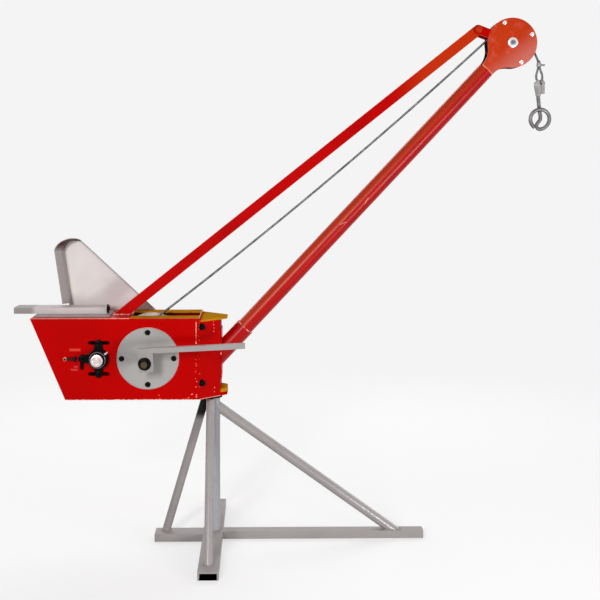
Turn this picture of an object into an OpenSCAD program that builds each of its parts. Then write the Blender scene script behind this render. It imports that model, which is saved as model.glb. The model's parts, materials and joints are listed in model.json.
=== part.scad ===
// Portable mini crane: a slewing winch box with a fixed jib, on a post with a cross base.
// Origin: the post's axis at floor level. +X is the jib side, +Y the back, +Z up. Millimetres.

/* [Base] */
// Width of the channel that runs from front to back
channel_w = 74; // [70:1:100]
// Distance of that channel's middle from the post's axis
channel_x = -6; // [-10:1:0]
// Height of every base member
channel_h = 30; // [26:1:40]
// Wall of the base members
channel_t = 6; // [3:0.5:7]
// Reach of the cross channel to the front
base_front = 389; // [350:1:450]
// Reach of the cross channel to the back
base_back = 339; // [300:1:420]
// Reach of the short foot behind the box
foot_left = 228; // [215:1:300]
// Width of the short foot
foot_left_w = 64; // [60:1:80]
// Distance of the short foot's middle in front of the post's axis
foot_left_front = 14; // [0:1:16]
// Reach of the long foot under the jib
foot_right = 804; // [740:1:950]
// Width of the long foot
foot_right_w = 42; // [40:1:60]

/* [Post and braces] */
// Outer diameter of the post
post_d = 42.4; // [40:0.1:44]
// Wall of the post and of the brace tubes
post_t = 3.2; // [2:0.2:4]
// Top of the post inside the pivot sleeve
post_top = 795; // [740:1:805]
// Height where the braces end under the box
brace_top = 548; // [520:1:549]
// Diameter of the short braces
brace_d = 32; // [25:1:36]
// Diameter of the long brace
long_brace_d = 38; // [32:1:42]
// Foot of the left brace, from the post's axis
left_brace_foot = 187; // [160:1:200]
// Foot of the long brace, from the post's axis
long_brace_foot = 685; // [600:1:720]
// Foot of the front brace, from the post's axis
front_brace_foot = 322; // [260:1:330]
// Foot of the back brace, from the post's axis
back_brace_foot = 262; // [240:1:300]
// Diameter of the ring that the slewing unit turns on
collar_d = 60; // [54:1:70]

/* [Winch box] */
// Underside of the winch box above the floor
box_z = 564; // [563:1:600]
// Height of the winch box
box_h = 303; // [303:1:330]
// Depth of the winch box, front to back
box_w = 230; // [225:1:250]
// Left end of the box at its top
box_left_top = 678; // [670:1:700]
// Left end of the box at its floor
box_left_floor = 550; // [535:1:600]
// Right end of the box, at the nose
box_right = 51; // [50:1:60]
// Thickness of the side, end and top plates
wall_t = 4; // [3:0.5:5]
// Thickness of the floor plate
floor_t = 3; // [2:0.5:3]
// Left end of the opening over the drum
opening_left = 310; // [300:1:320]
// Front edge of that opening
opening_front = 42; // [42:1:46]
// Back edge of that opening
opening_back = 52; // [51:1:60]

/* [Nose] */
// Thickness of the nose's top plate
nose_top_t = 6; // [4:0.5:8]
// Thickness of the nose's bottom plate
nose_bottom_t = 14; // [8:0.5:16]
// How far the nose's top plate lies below the box's top
nose_drop = 7; // [5:0.5:10]
// Tip of the nose plates, from the post's axis
nose_tip = 50; // [45:1:60]
// Height of the lug at the nose's foot
nose_lug_h = 25; // [20:1:36]
// Width of the nose plates at their tip
nose_tip_w = 70; // [60:1:80]
// Outer diameter of the pivot sleeve
sleeve_d = 50; // [49:0.5:54]
// Top of the pivot sleeve
sleeve_top = 815; // [800:1:830]
// Thickness of the plate that carries the jib
end_plate_t = 5; // [4:0.5:8]
// Lower edge of that plate
end_plate_low = 628; // [600:1:640]

/* [Jib] */
// Diameter of the jib tube
jib_d = 63.5; // [60:0.5:66]
// Wall of the jib tube
jib_t = 3; // [2:0.5:4]
// Height where the jib's line meets the post's axis
jib_z = 692; // [680:1:700]
// Distance from that point to the head sheave's axle
jib_reach = 1655; // [1600:5:1700]
// Angle of the jib above the horizontal
jib_angle = 46.9; // [45:0.1:49]
// Outer diameter of the jib's socket
socket_d = 71; // [70:0.5:76]
// Upper end of the socket, along the jib
socket_end = 171; // [150:1:200]
// Depth of the stay's box section across the jib's plane
stay_w = 36; // [30:1:38]
// Height of the stay's box section
stay_h = 39; // [34:1:44]
// Wall of the stay's box section
stay_t = 2.5; // [2:0.5:4]
// Foot of the stay on the box's top, from the post's axis
stay_foot = 355; // [340:1:370]
// Stay bolt, to the left of the head's axle
stay_bolt_dx = 128; // [122:1:134]
// Stay bolt, above the head's axle
stay_bolt_dz = 49; // [44:1:54]
// Diameter of the stay bolt
stay_bolt_d = 16; // [12:1:18]

/* [Head] */
// Radius of the round cheeks
cheek_r = 94; // [90:1:100]
// Thickness of a cheek
cheek_t = 5; // [4:0.5:6]
// Distance across the outside of the two cheeks
head_w = 56; // [52:1:60]
// Width of the neck where the cheeks meet the jib
neck_w = 55; // [50:1:60]
// Length from the axle to the jib's end
neck_l = 139; // [136:1:150]
// Radius of the curves between neck and cheek
neck_r = 75; // [70:1:80]
// Radius of the rope's line in the sheave
sheave_rope_r = 70; // [68:0.5:71]
// Width of the sheave
sheave_w = 30; // [24:1:34]
// Diameter of the sheave's axle
axle_d = 20; // [16:1:24]
// Radius of the circle that the spacer bolts stand on
spacer_circle_r = 81; // [81:0.5:84]
// Diameter of a spacer
spacer_d = 9; // [7:0.5:9]

/* [Winch] */
// Drum axis, to the left of the post
drum_x = 242; // [238:1:246]
// Height of the drum's axis and of the input shaft
drum_z = 719; // [719:0.5:720]
// Radius of the drum's flanges
drum_flange_r = 147; // [130:1:147]
// Radius of the drum's core
drum_core_r = 60; // [50:1:70]
// Radius of the rope's pack on the drum
drum_pack_r = 90; // [80:1:95]
// Thickness of a drum flange
drum_flange_t = 4; // [3:0.5:5]
// Diameter of the drum's shaft
drum_shaft_d = 25; // [20:1:30]
// Rope diameter
rope_d = 9; // [7:0.5:10]
// Radius of the grey bearing cover on the front
cover_r = 115; // [105:1:118]
// Thickness of that cover
cover_t = 6; // [5:0.5:8]
// Diameter of the spindle that carries the lever
spindle_d = 30; // [26:1:32]
// Diameter of the thread at the spindle's end
thread_d = 23; // [18:1:25]
// Distance of the lever's plane from the middle of the box
lever_y = 213; // [205:1:225]
// Width of the square lever bar
lever_bar_w = 19; // [16:1:26]
// Length of the lever from the shaft to its tip
lever_l = 365; // [330:1:390]
// Height of the lever bar's line above the shaft
lever_rise = 47; // [44:1:52]
// Angle that the lever stands up at
lever_angle = 2.7; // [0:0.1:6]

/* [Input bearing] */
// Input bearing, to the left of the post
input_x = 424; // [420:1:430]
// Height of the slots above and below the input bearing
slot_dz = 58; // [54:1:62]
// Distance of the upright slot to the left of the input bearing
slot_dx = 62; // [58:1:66]
// Drop of the upright slot's middle below the input shaft
slot_drop = 14; // [8:1:18]
// Length of the upright slot
side_slot_l = 58; // [50:1:66]
// Length of the two level slots
slot_l = 80; // [60:1:82]
// Width of a slot
slot_w = 14; // [12:1:16]
// Radius of the bearing housing's round boss
housing_r = 31; // [28:1:34]
// Radius of the turned shaft end
shaft_end_r = 22; // [18:1:24]

/* [Motor seat and guard] */
// Length of the motor plate
motor_plate_l = 282; // [270:1:282]
// Left end of the motor plate, from the post's axis
motor_plate_left = 673; // [668:1:676]
// Thickness of the motor plate
motor_plate_t = 5; // [4:0.5:8]
// Spacing of the motor plate's two bolt holes
motor_hole_pitch = 138; // [120:1:150]
// Radius of these holes
motor_hole_r = 7.5; // [6:0.5:9]
// Left end of the motor rail, from the post's axis
rail_left = 761; // [740:1:780]
// Length of the motor rail
rail_l = 353; // [330:1:360]
// Width of the motor rail
rail_w = 78; // [70:1:80]
// Height of the motor rail
rail_h = 23; // [20:1:28]
// Height of the belt guard above the box
guard_h = 358; // [330:1:370]
// Depth of the straight part of the belt guard's rim
guard_depth = 50; // [40:1:60]
// Depth of the flare that follows it
flare_depth = 22; // [10:1:30]
// How far the flare stands out along the steep side
flare_out = 24; // [15:1:32]
// How far the flare stands out over the top
flare_top = 11; // [6:1:14]
// Depth of the lip along the guard's slanting side
guard_lip = 7; // [4:1:12]
// Sheet thickness of the guard
guard_t = 3; // [2:0.5:4]

/* [Hook] */
// Bar diameter of the pigtail hook
hook_bar_d = 15; // [12:1:16]
// Radius of the hook's ring at the middle of the bar
hook_ring_r = 37.5; // [34:0.5:40]
// Outer diameter of the liner that the rope runs through
liner_d = 14; // [12:0.5:15]
// Thickness of the hook's folded upper end
fold_t = 16; // [12:1:18]
// Height of the hook's ring below the liner
ring_drop = 136; // [130:1:144]

/* [Hidden] */
$fn = 64;

red = "#C00000";
grey = "#A8A4A2";
mustard = "#B08214";
steel = "#C8C8C8";
black = "#202020";

// Clearance of a pin in a plate of the same body
pin_gap = 0.1;
// Radial clearance of a running fit
run_gap = 0.05;
// Gap between two faces that slide on each other
slide_gap = 0.3;
tiny = 0.01;
big = 3000;

box_top = box_z + box_h;
collar_h = box_z - slide_gap - brace_top;
half_w = box_w / 2;
inner_w = half_w - wall_t;
post_r = post_d / 2;
nose_top_z = box_top - nose_drop;
jib_plate_x = sleeve_d / 2 + slide_gap;
jib_face_x = jib_plate_x + end_plate_t;
jib_end = jib_reach - neck_l;
head_x = jib_reach * cos(jib_angle);
head_z = jib_z + jib_reach * sin(jib_angle);
stay_bolt_x = head_x - stay_bolt_dx;
stay_bolt_z = head_z + stay_bolt_dz;
cheek_in = head_w / 2 - cheek_t;
rope_r = rope_d / 2;
axle_head_r = 18;

// The box's sloping left end at a height
function end_x(z) = -box_left_floor - (box_left_top - box_left_floor) * (z - box_z) / box_h;
end_slope = atan2(box_left_top - box_left_floor, box_h);
end_step = wall_t / cos(end_slope);

// Half width of the nose plates at a place along X
function nose_half(x) = half_w - (half_w - nose_tip_w / 2) * (x + box_right) / (nose_tip + box_right);

// A plate whose outline is drawn in X and Z, from y0 to y1
module upright(y0, y1) {
    translate([0, y1, 0])
        rotate([90, 0, 0])
            linear_extrude(y1 - y0)
                children();
}

// A round bar along Y
module cross_bar(x, z, r, y0, y1) {
    translate([x, y1, z])
        rotate([90, 0, 0])
            cylinder(r = r, h = y1 - y0);
}

// A straight tube from a to b, with its seam turned away from the cuts at its ends
module tube(a, b, d, t) {
    v = b - a;
    seam = 30;
    translate(a)
        rotate([0, acos(v.z / norm(v)), atan2(v.y, v.x)])
            rotate([0, 0, seam])
            difference() {
                cylinder(d = d, h = norm(v));
                translate([0, 0, -1])
                    cylinder(d = d - 2 * t, h = norm(v) + 2);
            }
}

// ---- Cross base ----

// An inverted channel along X, open below
module channel(length, width) {
    difference() {
        translate([0, -width / 2, 0])
            cube([length, width, channel_h]);
        translate([-1, channel_t - width / 2, -1])
            cube([length + 2, width - 2 * channel_t, channel_h - channel_t + 1]);
    }
}

module base_channel() {
    color(grey)
        difference() {
            translate([channel_x, -base_front, 0])
                rotate([0, 0, 90])
                    channel(base_front + base_back, channel_w);
            translate([0, 0, -1])
                cylinder(r = post_r + pin_gap, h = channel_h + 2);
        }
}

module short_foot() {
    color(grey)
        translate([-foot_left, -foot_left_front, 0])
            channel(foot_left + channel_x - channel_w / 2, foot_left_w);
}

module long_foot() {
    start = channel_x + channel_w / 2;
    length = foot_right - start;
    color(grey)
        translate([start, -foot_right_w / 2, 0])
            difference() {
                cube([length, foot_right_w, channel_h]);
                translate([-1, channel_t, channel_t])
                    cube([length + 2, foot_right_w - 2 * channel_t, channel_h - 2 * channel_t]);
            }
}

module post() {
    color(grey)
        difference() {
            cylinder(d = post_d, h = post_top);
            translate([0, 0, -1])
                cylinder(d = post_d - 2 * post_t, h = post_top + 2);
        }
}

// A brace between two points, cut off level at the base, at the collar and round the post
module brace(foot, top, d, over) {
    along = (top - foot) / norm(top - foot);
    color(grey)
        intersection() {
            difference() {
                tube(foot - 2 * d * along, top + over * along, d, post_t);
                cylinder(r = post_r + pin_gap, h = big);
            }
            translate([-big / 2, -big / 2, channel_h])
                cube([big, big, brace_top - channel_h]);
        }
}

module left_brace() {
    brace([-left_brace_foot, 0, channel_h], [-34, 0, brace_top], brace_d, brace_d);
}

module long_brace() {
    brace([long_brace_foot, 0, channel_h], [0, 0, brace_top - 28], long_brace_d, 0);
}

module front_brace() {
    brace([-8, -front_brace_foot, channel_h], [-14, -30, brace_top], brace_d, brace_d);
}

module back_brace() {
    mirror([0, 1, 0])
        brace([-8, -back_brace_foot, channel_h], [-14, -30, brace_top], brace_d, brace_d);
}

module slewing_collar() {
    color(steel)
        translate([0, 0, brace_top])
            difference() {
                cylinder(d = collar_d, h = collar_h);
                translate([0, 0, -1])
                    cylinder(r = post_r + pin_gap, h = collar_h + 2);
            }
}

// ---- Winch box ----

module side_outline() {
    polygon([[end_x(box_z), box_z], [-box_right, box_z], [-box_right, box_top], [end_x(box_top), box_top]]);
}

// A slot with round ends, centred on the origin
module slot(length, width) {
    straight = length - width;
    square([straight, width], center = true);
    for (side = [-1, 1])
        translate([side * straight / 2, 0])
            circle(d = width);
}

// The three slots that the input housing's bolts slide in
module housing_slots() {
    translate([-input_x, drum_z]) {
        for (side = [-1, 1])
            translate([0, side * slot_dz])
                slot(slot_l, slot_w);
        translate([-slot_dx, -slot_drop])
            rotate(90)
                slot(side_slot_l, slot_w);
        circle(r = shaft_end_r - 4 + pin_gap);
    }
}

module front_wall() {
    color(red)
        upright(-half_w, -inner_w)
            difference() {
                side_outline();
                housing_slots();
                translate([-drum_x, drum_z])
                    circle(d = drum_shaft_d + 2 * run_gap);
            }
}

module back_wall() {
    color(red)
        upright(inner_w, half_w)
            difference() {
                side_outline();
                translate([-drum_x, drum_z])
                    circle(d = drum_shaft_d + 2 * run_gap);
                translate([-input_x, drum_z])
                    circle(r = shaft_end_r - 4 + pin_gap);
            }
}

module end_wall() {
    color(red)
        upright(-inner_w, inner_w)
            polygon([[end_x(box_z), box_z], [end_x(box_z) + end_step, box_z],
                [end_x(box_top) + end_step, box_top], [end_x(box_top), box_top]]);
}

module floor_plate() {
    top = box_z + floor_t;
    color(red)
        upright(-inner_w, inner_w)
            polygon([[end_x(box_z) + end_step, box_z], [-box_right - wall_t, box_z],
                [-box_right - wall_t, top], [end_x(top) + end_step, top]]);
}

motor_hole_y = -45;
function motor_hole_x(side) = motor_plate_l / 2 - motor_plate_left - 18 + side * motor_hole_pitch / 2;

module motor_holes() {
    for (side = [-1, 1])
        translate([motor_hole_x(side), motor_hole_y, box_top - wall_t - 1])
            cylinder(r = motor_hole_r, h = wall_t + motor_plate_t + 2);
}

module top_plate() {
    low = box_top - wall_t;
    color(red)
        difference() {
            upright(-inner_w, inner_w)
                polygon([[end_x(low) + end_step, low], [-opening_left, low],
                    [-opening_left, box_top], [end_x(box_top) + end_step, box_top]]);
            motor_holes();
        }
}

module top_strips() {
    length = opening_left - box_right - wall_t;
    color(mustard)
        translate([-opening_left, 0, box_top - wall_t]) {
            translate([0, -inner_w, 0])
                cube([length, inner_w - opening_front, wall_t]);
            translate([0, opening_back, 0])
                cube([length, inner_w - opening_back, wall_t]);
        }
}

module bulkhead() {
    color(red)
        translate([-box_right - wall_t, -inner_w, box_z])
            cube([wall_t, 2 * inner_w, box_h]);
}

// ---- Nose ----

module nose_plate(z, t) {
    translate([0, 0, z])
        linear_extrude(t)
            polygon([[-box_right, -half_w], [nose_tip, -nose_tip_w / 2],
                [nose_tip, nose_tip_w / 2], [-box_right, half_w]]);
}

module nose_top_plate() {
    color(mustard)
        nose_plate(nose_top_z - nose_top_t, nose_top_t);
}

nose_inset = 2;
nose_side_t = 1.3 * wall_t;

// The bottom plate lies between the side plates and carries a lug at its tip
module nose_bottom_plate() {
    start = jib_plate_x + pin_gap;
    in0 = nose_half(-box_right) - nose_inset - nose_side_t - pin_gap;
    in1 = nose_half(jib_plate_x) - nose_inset - nose_side_t - pin_gap;
    out1 = nose_half(start);
    tip = nose_tip_w / 2;
    tongue = [[start, -out1], [nose_tip, -tip], [nose_tip, tip], [start, out1]];
    color(mustard)
        difference() {
            translate([0, 0, box_z])
                union() {
                    linear_extrude(nose_bottom_t)
                        polygon(concat([[-box_right, -in0], [start, -in1]], tongue,
                            [[start, in1], [-box_right, in0]]));
                    linear_extrude(nose_lug_h)
                        polygon(tongue);
                }
            translate([0, 0, box_z - 1])
                cylinder(d = sleeve_d + 2 * pin_gap, h = nose_bottom_t + 2);
        }
}

module nose_sides() {
    low = box_z;
    high = nose_top_z - nose_top_t;
    out0 = nose_half(-box_right) - nose_inset;
    out1 = nose_half(jib_plate_x) - nose_inset;
    color(red)
        for (side = [-1, 1])
            translate([0, 0, low])
                linear_extrude(high - low)
                    polygon([[-box_right, side * out0], [jib_plate_x, side * out1],
                        [jib_plate_x, side * (out1 - nose_side_t)],
                        [-box_right, side * (out0 - nose_side_t)]]);
}

module jib_plate() {
    half = nose_half(jib_face_x) - nose_inset;
    color(red)
        translate([jib_plate_x, -half, end_plate_low])
            cube([end_plate_t, 2 * half, sleeve_top - end_plate_low]);
}

module pivot_sleeve() {
    color(red)
        translate([0, 0, box_z])
            difference() {
                cylinder(d = sleeve_d, h = sleeve_top - box_z);
                translate([0, 0, -1])
                    cylinder(r = post_r + run_gap, h = sleeve_top - box_z + 2);
            }
}

// ---- Jib, stay and head ----

// Turns a part drawn along +Z so that it lies along the jib
module along_jib() {
    translate([0, 0, jib_z])
        rotate([0, 90 - jib_angle, 0])
            children();
}

module beyond_jib_plate() {
    translate([jib_face_x, -big / 2, 0])
        cube([big, big, big]);
}

module jib_socket() {
    color(red)
        intersection() {
            along_jib()
                difference() {
                    cylinder(d = socket_d, h = socket_end);
                    translate([0, 0, -1])
                        cylinder(d = jib_d + 2 * pin_gap, h = socket_end + 2);
                }
            beyond_jib_plate();
        }
}

module jib_tube() {
    cap_t = 4;
    color(red)
        intersection() {
            along_jib()
                difference() {
                    cylinder(d = jib_d, h = jib_end);
                    translate([0, 0, -1])
                        cylinder(d = jib_d - 2 * jib_t, h = jib_end - cap_t + 1);
                }
            beyond_jib_plate();
        }
}

stay_angle = atan2(stay_bolt_z - box_top, stay_bolt_x + stay_foot);
stay_l = norm([stay_bolt_x + stay_foot, stay_bolt_z - box_top]);

// The stay: a box section, cut level at its foot and rounded at its bolt
module stay_tube() {
    color(red)
        difference() {
            intersection() {
                translate([stay_bolt_x, 0, stay_bolt_z])
                    rotate([0, 90 - stay_angle, 0]) {
                        difference() {
                            translate([-stay_h / 2, -stay_w / 2, -stay_l - stay_h])
                                cube([stay_h, stay_w, stay_l + stay_h]);
                            translate([stay_t - stay_h / 2, stay_t - stay_w / 2, -stay_l - stay_h - 1])
                                cube([stay_h - 2 * stay_t, stay_w - 2 * stay_t, stay_l]);
                        }
                        rotate([90, 0, 0])
                            cylinder(d = stay_h, h = stay_w, center = true);
                    }
                translate([-big / 2, -big / 2, box_top])
                    cube([big, big, big]);
            }
            cross_bar(stay_bolt_x, stay_bolt_z, stay_bolt_d / 2 + pin_gap, -stay_w, stay_w);
        }
}

lug_h = 34;

// The lugs that join the stay's bolt to the rims of the cheeks
module stay_lugs() {
    color(red)
        for (y = [-head_w / 2, cheek_in])
            upright(y, y + cheek_t)
                translate([head_x, head_z])
                    difference() {
                        rotate(atan2(stay_bolt_dz, -stay_bolt_dx))
                            union() {
                                translate([0, -lug_h / 2])
                                    square([norm([stay_bolt_dx, stay_bolt_dz]), lug_h]);
                                translate([norm([stay_bolt_dx, stay_bolt_dz]), 0])
                                    circle(d = lug_h);
                            }
                        circle(r = cheek_r);
                        translate([-stay_bolt_dx, stay_bolt_dz])
                            circle(d = stay_bolt_d + 2 * pin_gap);
                    }
}

// Distance along the neck to the centre of its side curve, with the curve tangent to the round cheek
neck_run = sqrt(pow(cheek_r + neck_r, 2) - pow(neck_w / 2 + neck_r, 2));
spacer_angles = [112, 23, -65];

// Points on an arc, every few degrees from one angle to another
function arc_points(mid, r, from, to, steps) =
    [for (i = [0:steps]) let(a = from + (to - from) * i / steps) mid + r * [cos(a), sin(a)]];

// Outline of a cheek round its axle: the neck runs along +X
module cheek_outline() {
    touch = atan2(neck_w / 2 + neck_r, neck_run);
    curve = [neck_run, neck_w / 2 + neck_r];
    half = concat(
        arc_points([0, 0], cheek_r, 180, touch, 34),
        arc_points(curve, neck_r, 180 + touch, 270, 10),
        [[neck_l, neck_w / 2]]);
    polygon(concat(half, [for (i = [len(half) - 1:-1:1]) [half[i].x, -half[i].y]]));
}

module cheek(y) {
    color(red)
        upright(y, y + cheek_t)
            translate([head_x, head_z])
                difference() {
                    rotate(180 + jib_angle)
                        cheek_outline();
                    circle(d = axle_d + 2 * pin_gap);
                    for (a = spacer_angles)
                        rotate(a)
                            translate([spacer_circle_r, 0])
                                circle(d = spacer_d + 2 * pin_gap);
                }
}

module front_cheek() {
    cheek(-head_w / 2);
}

module rear_cheek() {
    cheek(cheek_in);
}

module head_pins() {
    proud = 4;
    head_l = 7;
    bolt_half = head_w / 2 + 8;
    color(steel) {
        cross_bar(head_x, head_z, axle_d / 2, -head_w / 2 - proud, head_w / 2 + proud);
        for (y = [-head_w / 2 - head_l, head_w / 2 + slide_gap])
            cross_bar(head_x, head_z, axle_head_r, y, y + head_l - slide_gap);
        for (a = spacer_angles)
            cross_bar(head_x + spacer_circle_r * cos(a), head_z + spacer_circle_r * sin(a), spacer_d / 2,
                -head_w / 2 - proud, head_w / 2 + proud);
        cross_bar(stay_bolt_x, stay_bolt_z, stay_bolt_d / 2, -bolt_half, bolt_half);
    }
}

module head_sheave() {
    rim_r = sheave_rope_r + 1.5;
    color(steel)
        translate([head_x, 0, head_z])
            rotate([90, 0, 0])
                rotate_extrude($fn = 96)
                    difference() {
                        translate([axle_d / 2 + run_gap, -sheave_w / 2])
                            square([rim_r - axle_d / 2 - run_gap, sheave_w]);
                        translate([sheave_rope_r, 0])
                            circle(r = rope_r + slide_gap, $fn = 32);
                        polygon([[sheave_rope_r, -rope_r - slide_gap], [rim_r + 1, -rope_r - 3],
                            [rim_r + 1, rope_r + 3], [sheave_rope_r, rope_r + slide_gap]]);
                    }
}

// ---- Winch ----

drum_mid = (opening_back - opening_front) / 2;
drum_out = (opening_back + opening_front) / 2 - 6;
wraps = floor((2 * drum_out - 2 * drum_flange_t) / rope_d);

module rope_drum() {
    shaft_proud = 20;
    color(steel)
        translate([-drum_x, 0, drum_z])
            rotate([90, 0, 0])
                rotate_extrude($fn = 96)
                    union() {
                        translate([0, -half_w - shaft_proud])
                            square([drum_shaft_d / 2, 2 * half_w + shaft_proud - slide_gap]);
                        translate([0, -drum_mid - drum_out])
                            square([drum_core_r, 2 * drum_out]);
                        for (y = [-drum_out, drum_out - drum_flange_t])
                            translate([0, y - drum_mid])
                                square([drum_flange_r, drum_flange_t]);
                    }
}

// The rope wound on the drum: a ring with one ridge for each wrap of its outer layer
module rope_pack() {
    color("#505050")
        translate([-drum_x, 0, drum_z])
            rotate([90, 0, 0])
                rotate_extrude($fn = 96)
                    translate([0, -drum_mid])
                        union() {
                            translate([drum_core_r + pin_gap, -wraps * rope_d / 2])
                                square([drum_pack_r - rope_r - drum_core_r, wraps * rope_d]);
                            for (i = [0:wraps - 1])
                                translate([drum_pack_r - rope_r, (i + 0.5 - wraps / 2) * rope_d])
                                    circle(d = rope_d - tiny, $fn = 16);
                        }
}

module bearing_cover() {
    edge = 2;
    hub_half = 6;
    thread_l = 20.5;
    shoulder = lever_y - half_w + hub_half + slide_gap;
    end = shoulder + thread_l;
    color(grey)
        translate([-drum_x, -half_w, drum_z])
            rotate([90, 0, 0])
                rotate_extrude($fn = 128)
                    polygon([[0, 0], [cover_r, 0], [cover_r, cover_t - edge], [cover_r - edge, cover_t],
                        [spindle_d / 2, cover_t], [spindle_d / 2, shoulder], [thread_d / 2, shoulder],
                        [thread_d / 2, end], [0, end]]);
}

// The lever: a square bar on a hub plate, with a boss that turns on the spindle
module lever() {
    hub_left = 22;
    hub_w = 53;
    hub_low = 31;
    hub_t = 12;
    bar_t = 2.5;
    boss_r = spindle_d / 2 + 5;
    bar_low = lever_rise - lever_bar_w / 2;
    color(grey)
        translate([-drum_x, 0, drum_z])
            rotate([0, -lever_angle, 0])
                difference() {
                    union() {
                        translate([-hub_left, -lever_y - lever_bar_w / 2, bar_low])
                            difference() {
                                cube([lever_l + hub_left, lever_bar_w, lever_bar_w]);
                                translate([hub_w, bar_t, bar_t])
                                    cube([lever_l, lever_bar_w - 2 * bar_t, lever_bar_w - 2 * bar_t]);
                            }
                        translate([-hub_left, -lever_y - hub_t / 2, -hub_low])
                            cube([hub_w, hub_t, bar_low + hub_low + 1]);
                        cross_bar(0, 0, boss_r, -lever_y, -half_w - cover_t - slide_gap);
                    }
                    cross_bar(0, 0, spindle_d / 2 + run_gap, -lever_y - lever_bar_w, 0);
                }
}

// ---- Input bearing ----

housing_t = 11;
housing_y = 150;
flange_r = 38;
arm_root = 22;
arm_tip = 13;

// One arm of the housing's flange, along +X, as far as a slot
module housing_arm(reach) {
    polygon([[0, -arm_root], [reach, -arm_tip], [reach, arm_tip], [0, arm_root]]);
    translate([reach, 0])
        circle(r = arm_tip);
}

// A round flanged housing with three arms that reach over the slots
module input_housing() {
    ring_t = 5;
    color(black)
        translate([-input_x, 0, drum_z])
            difference() {
                union() {
                    upright(-half_w - housing_t, -half_w) {
                        circle(r = flange_r);
                        for (a = [90, 180, 270])
                            rotate(a)
                                housing_arm(a == 180 ? slot_dx : slot_dz);
                    }
                    cross_bar(0, 0, housing_r + 4, -housing_y + ring_t, -half_w);
                    cross_bar(0, 0, housing_r, -housing_y, -half_w);
                }
                cross_bar(0, 0, shaft_end_r - 4 + pin_gap, -housing_y - 1, 0);
            }
}

// The shaft through the box, with its turned end outside the housing
module input_shaft() {
    end_y = 165;
    shaft_r = shaft_end_r - 4;
    color(steel)
        translate([-input_x, 0, drum_z])
            rotate([90, 0, 0])
                rotate_extrude()
                    polygon([[0, -half_w - 6], [shaft_r, -half_w - 6], [shaft_r, housing_y],
                        [shaft_end_r, housing_y], [shaft_end_r, end_y - 5], [shaft_end_r - 3, end_y - 3],
                        [shaft_end_r - 9, end_y - 3], [shaft_end_r - 11, end_y], [0, end_y]]);
}

// A short sliding pin in a block, with a ball at its end
module latch_pin() {
    tip = input_x + 130.5;
    block = input_x + 93;
    block_l = 9;
    rod_r = 5;
    ball_r = 7.5;
    neck = asin(rod_r / ball_r);
    y = half_w + 12;
    color(red)
        union() {
            translate([-tip, -y, drum_z])
                rotate([0, 90, 0])
                    rotate_extrude()
                        polygon(concat(
                            arc_points([0, ball_r], ball_r, -90, 90 - neck, 10),
                            [[rod_r, tip - block + 1], [0, tip - block + 1]]));
            translate([-block, -y - 7, drum_z - 8])
                cube([block_l, y + 7 - half_w, 16]);
        }
}

// ---- Motor seat and belt guard ----

rail_front = 22;

module motor_plate() {
    front = 68;
    back = 66;
    color(grey)
        difference() {
            translate([-motor_plate_left, -front, box_top])
                cube([motor_plate_l, front + back, motor_plate_t]);
            motor_holes();
        }
}

module motor_rail() {
    rail_t = 3;
    color(grey)
        translate([-rail_left, -rail_front, box_top + motor_plate_t])
            difference() {
                cube([rail_l, rail_w, rail_h]);
                translate([-1, rail_t, rail_t])
                    cube([rail_l + 2, rail_w - 2 * rail_t, rail_h - 2 * rail_t]);
            }
}

// The guard stands at the box's back: a steep left side and a slanting right side, joined by an arc
guard_left = 563.4;
guard_right = 236.3;
guard_lean = 0.153;
guard_round = 47;
guard_y = half_w;
guard_tip = [-guard_left - guard_lean * guard_h, box_top + guard_h];
guard_down = [guard_lean, -1] / norm([guard_lean, -1]);
guard_slant = ([-guard_right, box_top] - guard_tip) / norm([-guard_right, box_top] - guard_tip);
guard_half_angle = acos(guard_down * guard_slant) / 2;
guard_turn = [180 - atan(guard_lean), atan2(guard_slant.x, -guard_slant.y)];
guard_mid = guard_tip + (guard_down + guard_slant) / norm(guard_down + guard_slant)
    * guard_round / sin(guard_half_angle);

// Outline of the guard's plate, drawn in by an inset
module guard_outline(inset) {
    polygon(concat(
        [[-guard_left + inset, box_top]],
        arc_points(guard_mid, guard_round - inset, guard_turn.x, guard_turn.y, 16),
        [[-guard_right - 1.4 * inset, box_top]]));
}

// The band between the guard's outline and the same outline one sheet further in
module guard_band() {
    difference() {
        guard_outline(0);
        translate([0, -1])
            guard_outline(guard_t);
    }
}

// Stations of the guard's rim: up the steep side and round the arc, where the rim runs out
rim_start = guard_turn.x;
rim_stop = 62;
rim_full = 105;
rim_steps = 15;
rim_step = 3;

function rim_angle(i) = rim_start + (rim_stop - rim_start) * max(0, i - 1) / rim_steps;
function rim_fade(i) = max(0.1, min(1, (rim_angle(i) - rim_stop) / (rim_full - rim_stop)));
function rim_foot(i) =
    i == 0 ? [-guard_left, box_top] : guard_mid + guard_round * [cos(rim_angle(i)), sin(rim_angle(i))];

// A point of the outline p, moved out by a vector, at a depth in front of the guard's plate
function rim_point(p, out, depth) = [p.x + out.x, guard_y - depth, p.y + out.y];

// One station: the outer face's root, knee and edge, then the same points of the inner face
function rim_section(i) =
    let(
        p = rim_foot(i),
        n = [cos(rim_angle(i)), sin(rim_angle(i))],
        f = rim_fade(i),
        knee = guard_depth * f,
        edge = (guard_depth + flare_depth) * f,
        flare = sqrt(f) * (flare_top + (flare_out - flare_top) * pow(max(0, -n.x), 3)) * n
    )
    [rim_point(p, [0, 0], -1), rim_point(p, rim_step * f * n, knee), rim_point(p, flare, edge),
        rim_point(p, flare - guard_t * n, edge), rim_point(p, (rim_step * f - guard_t) * n, knee),
        rim_point(p, -guard_t * n, -1)];

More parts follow.
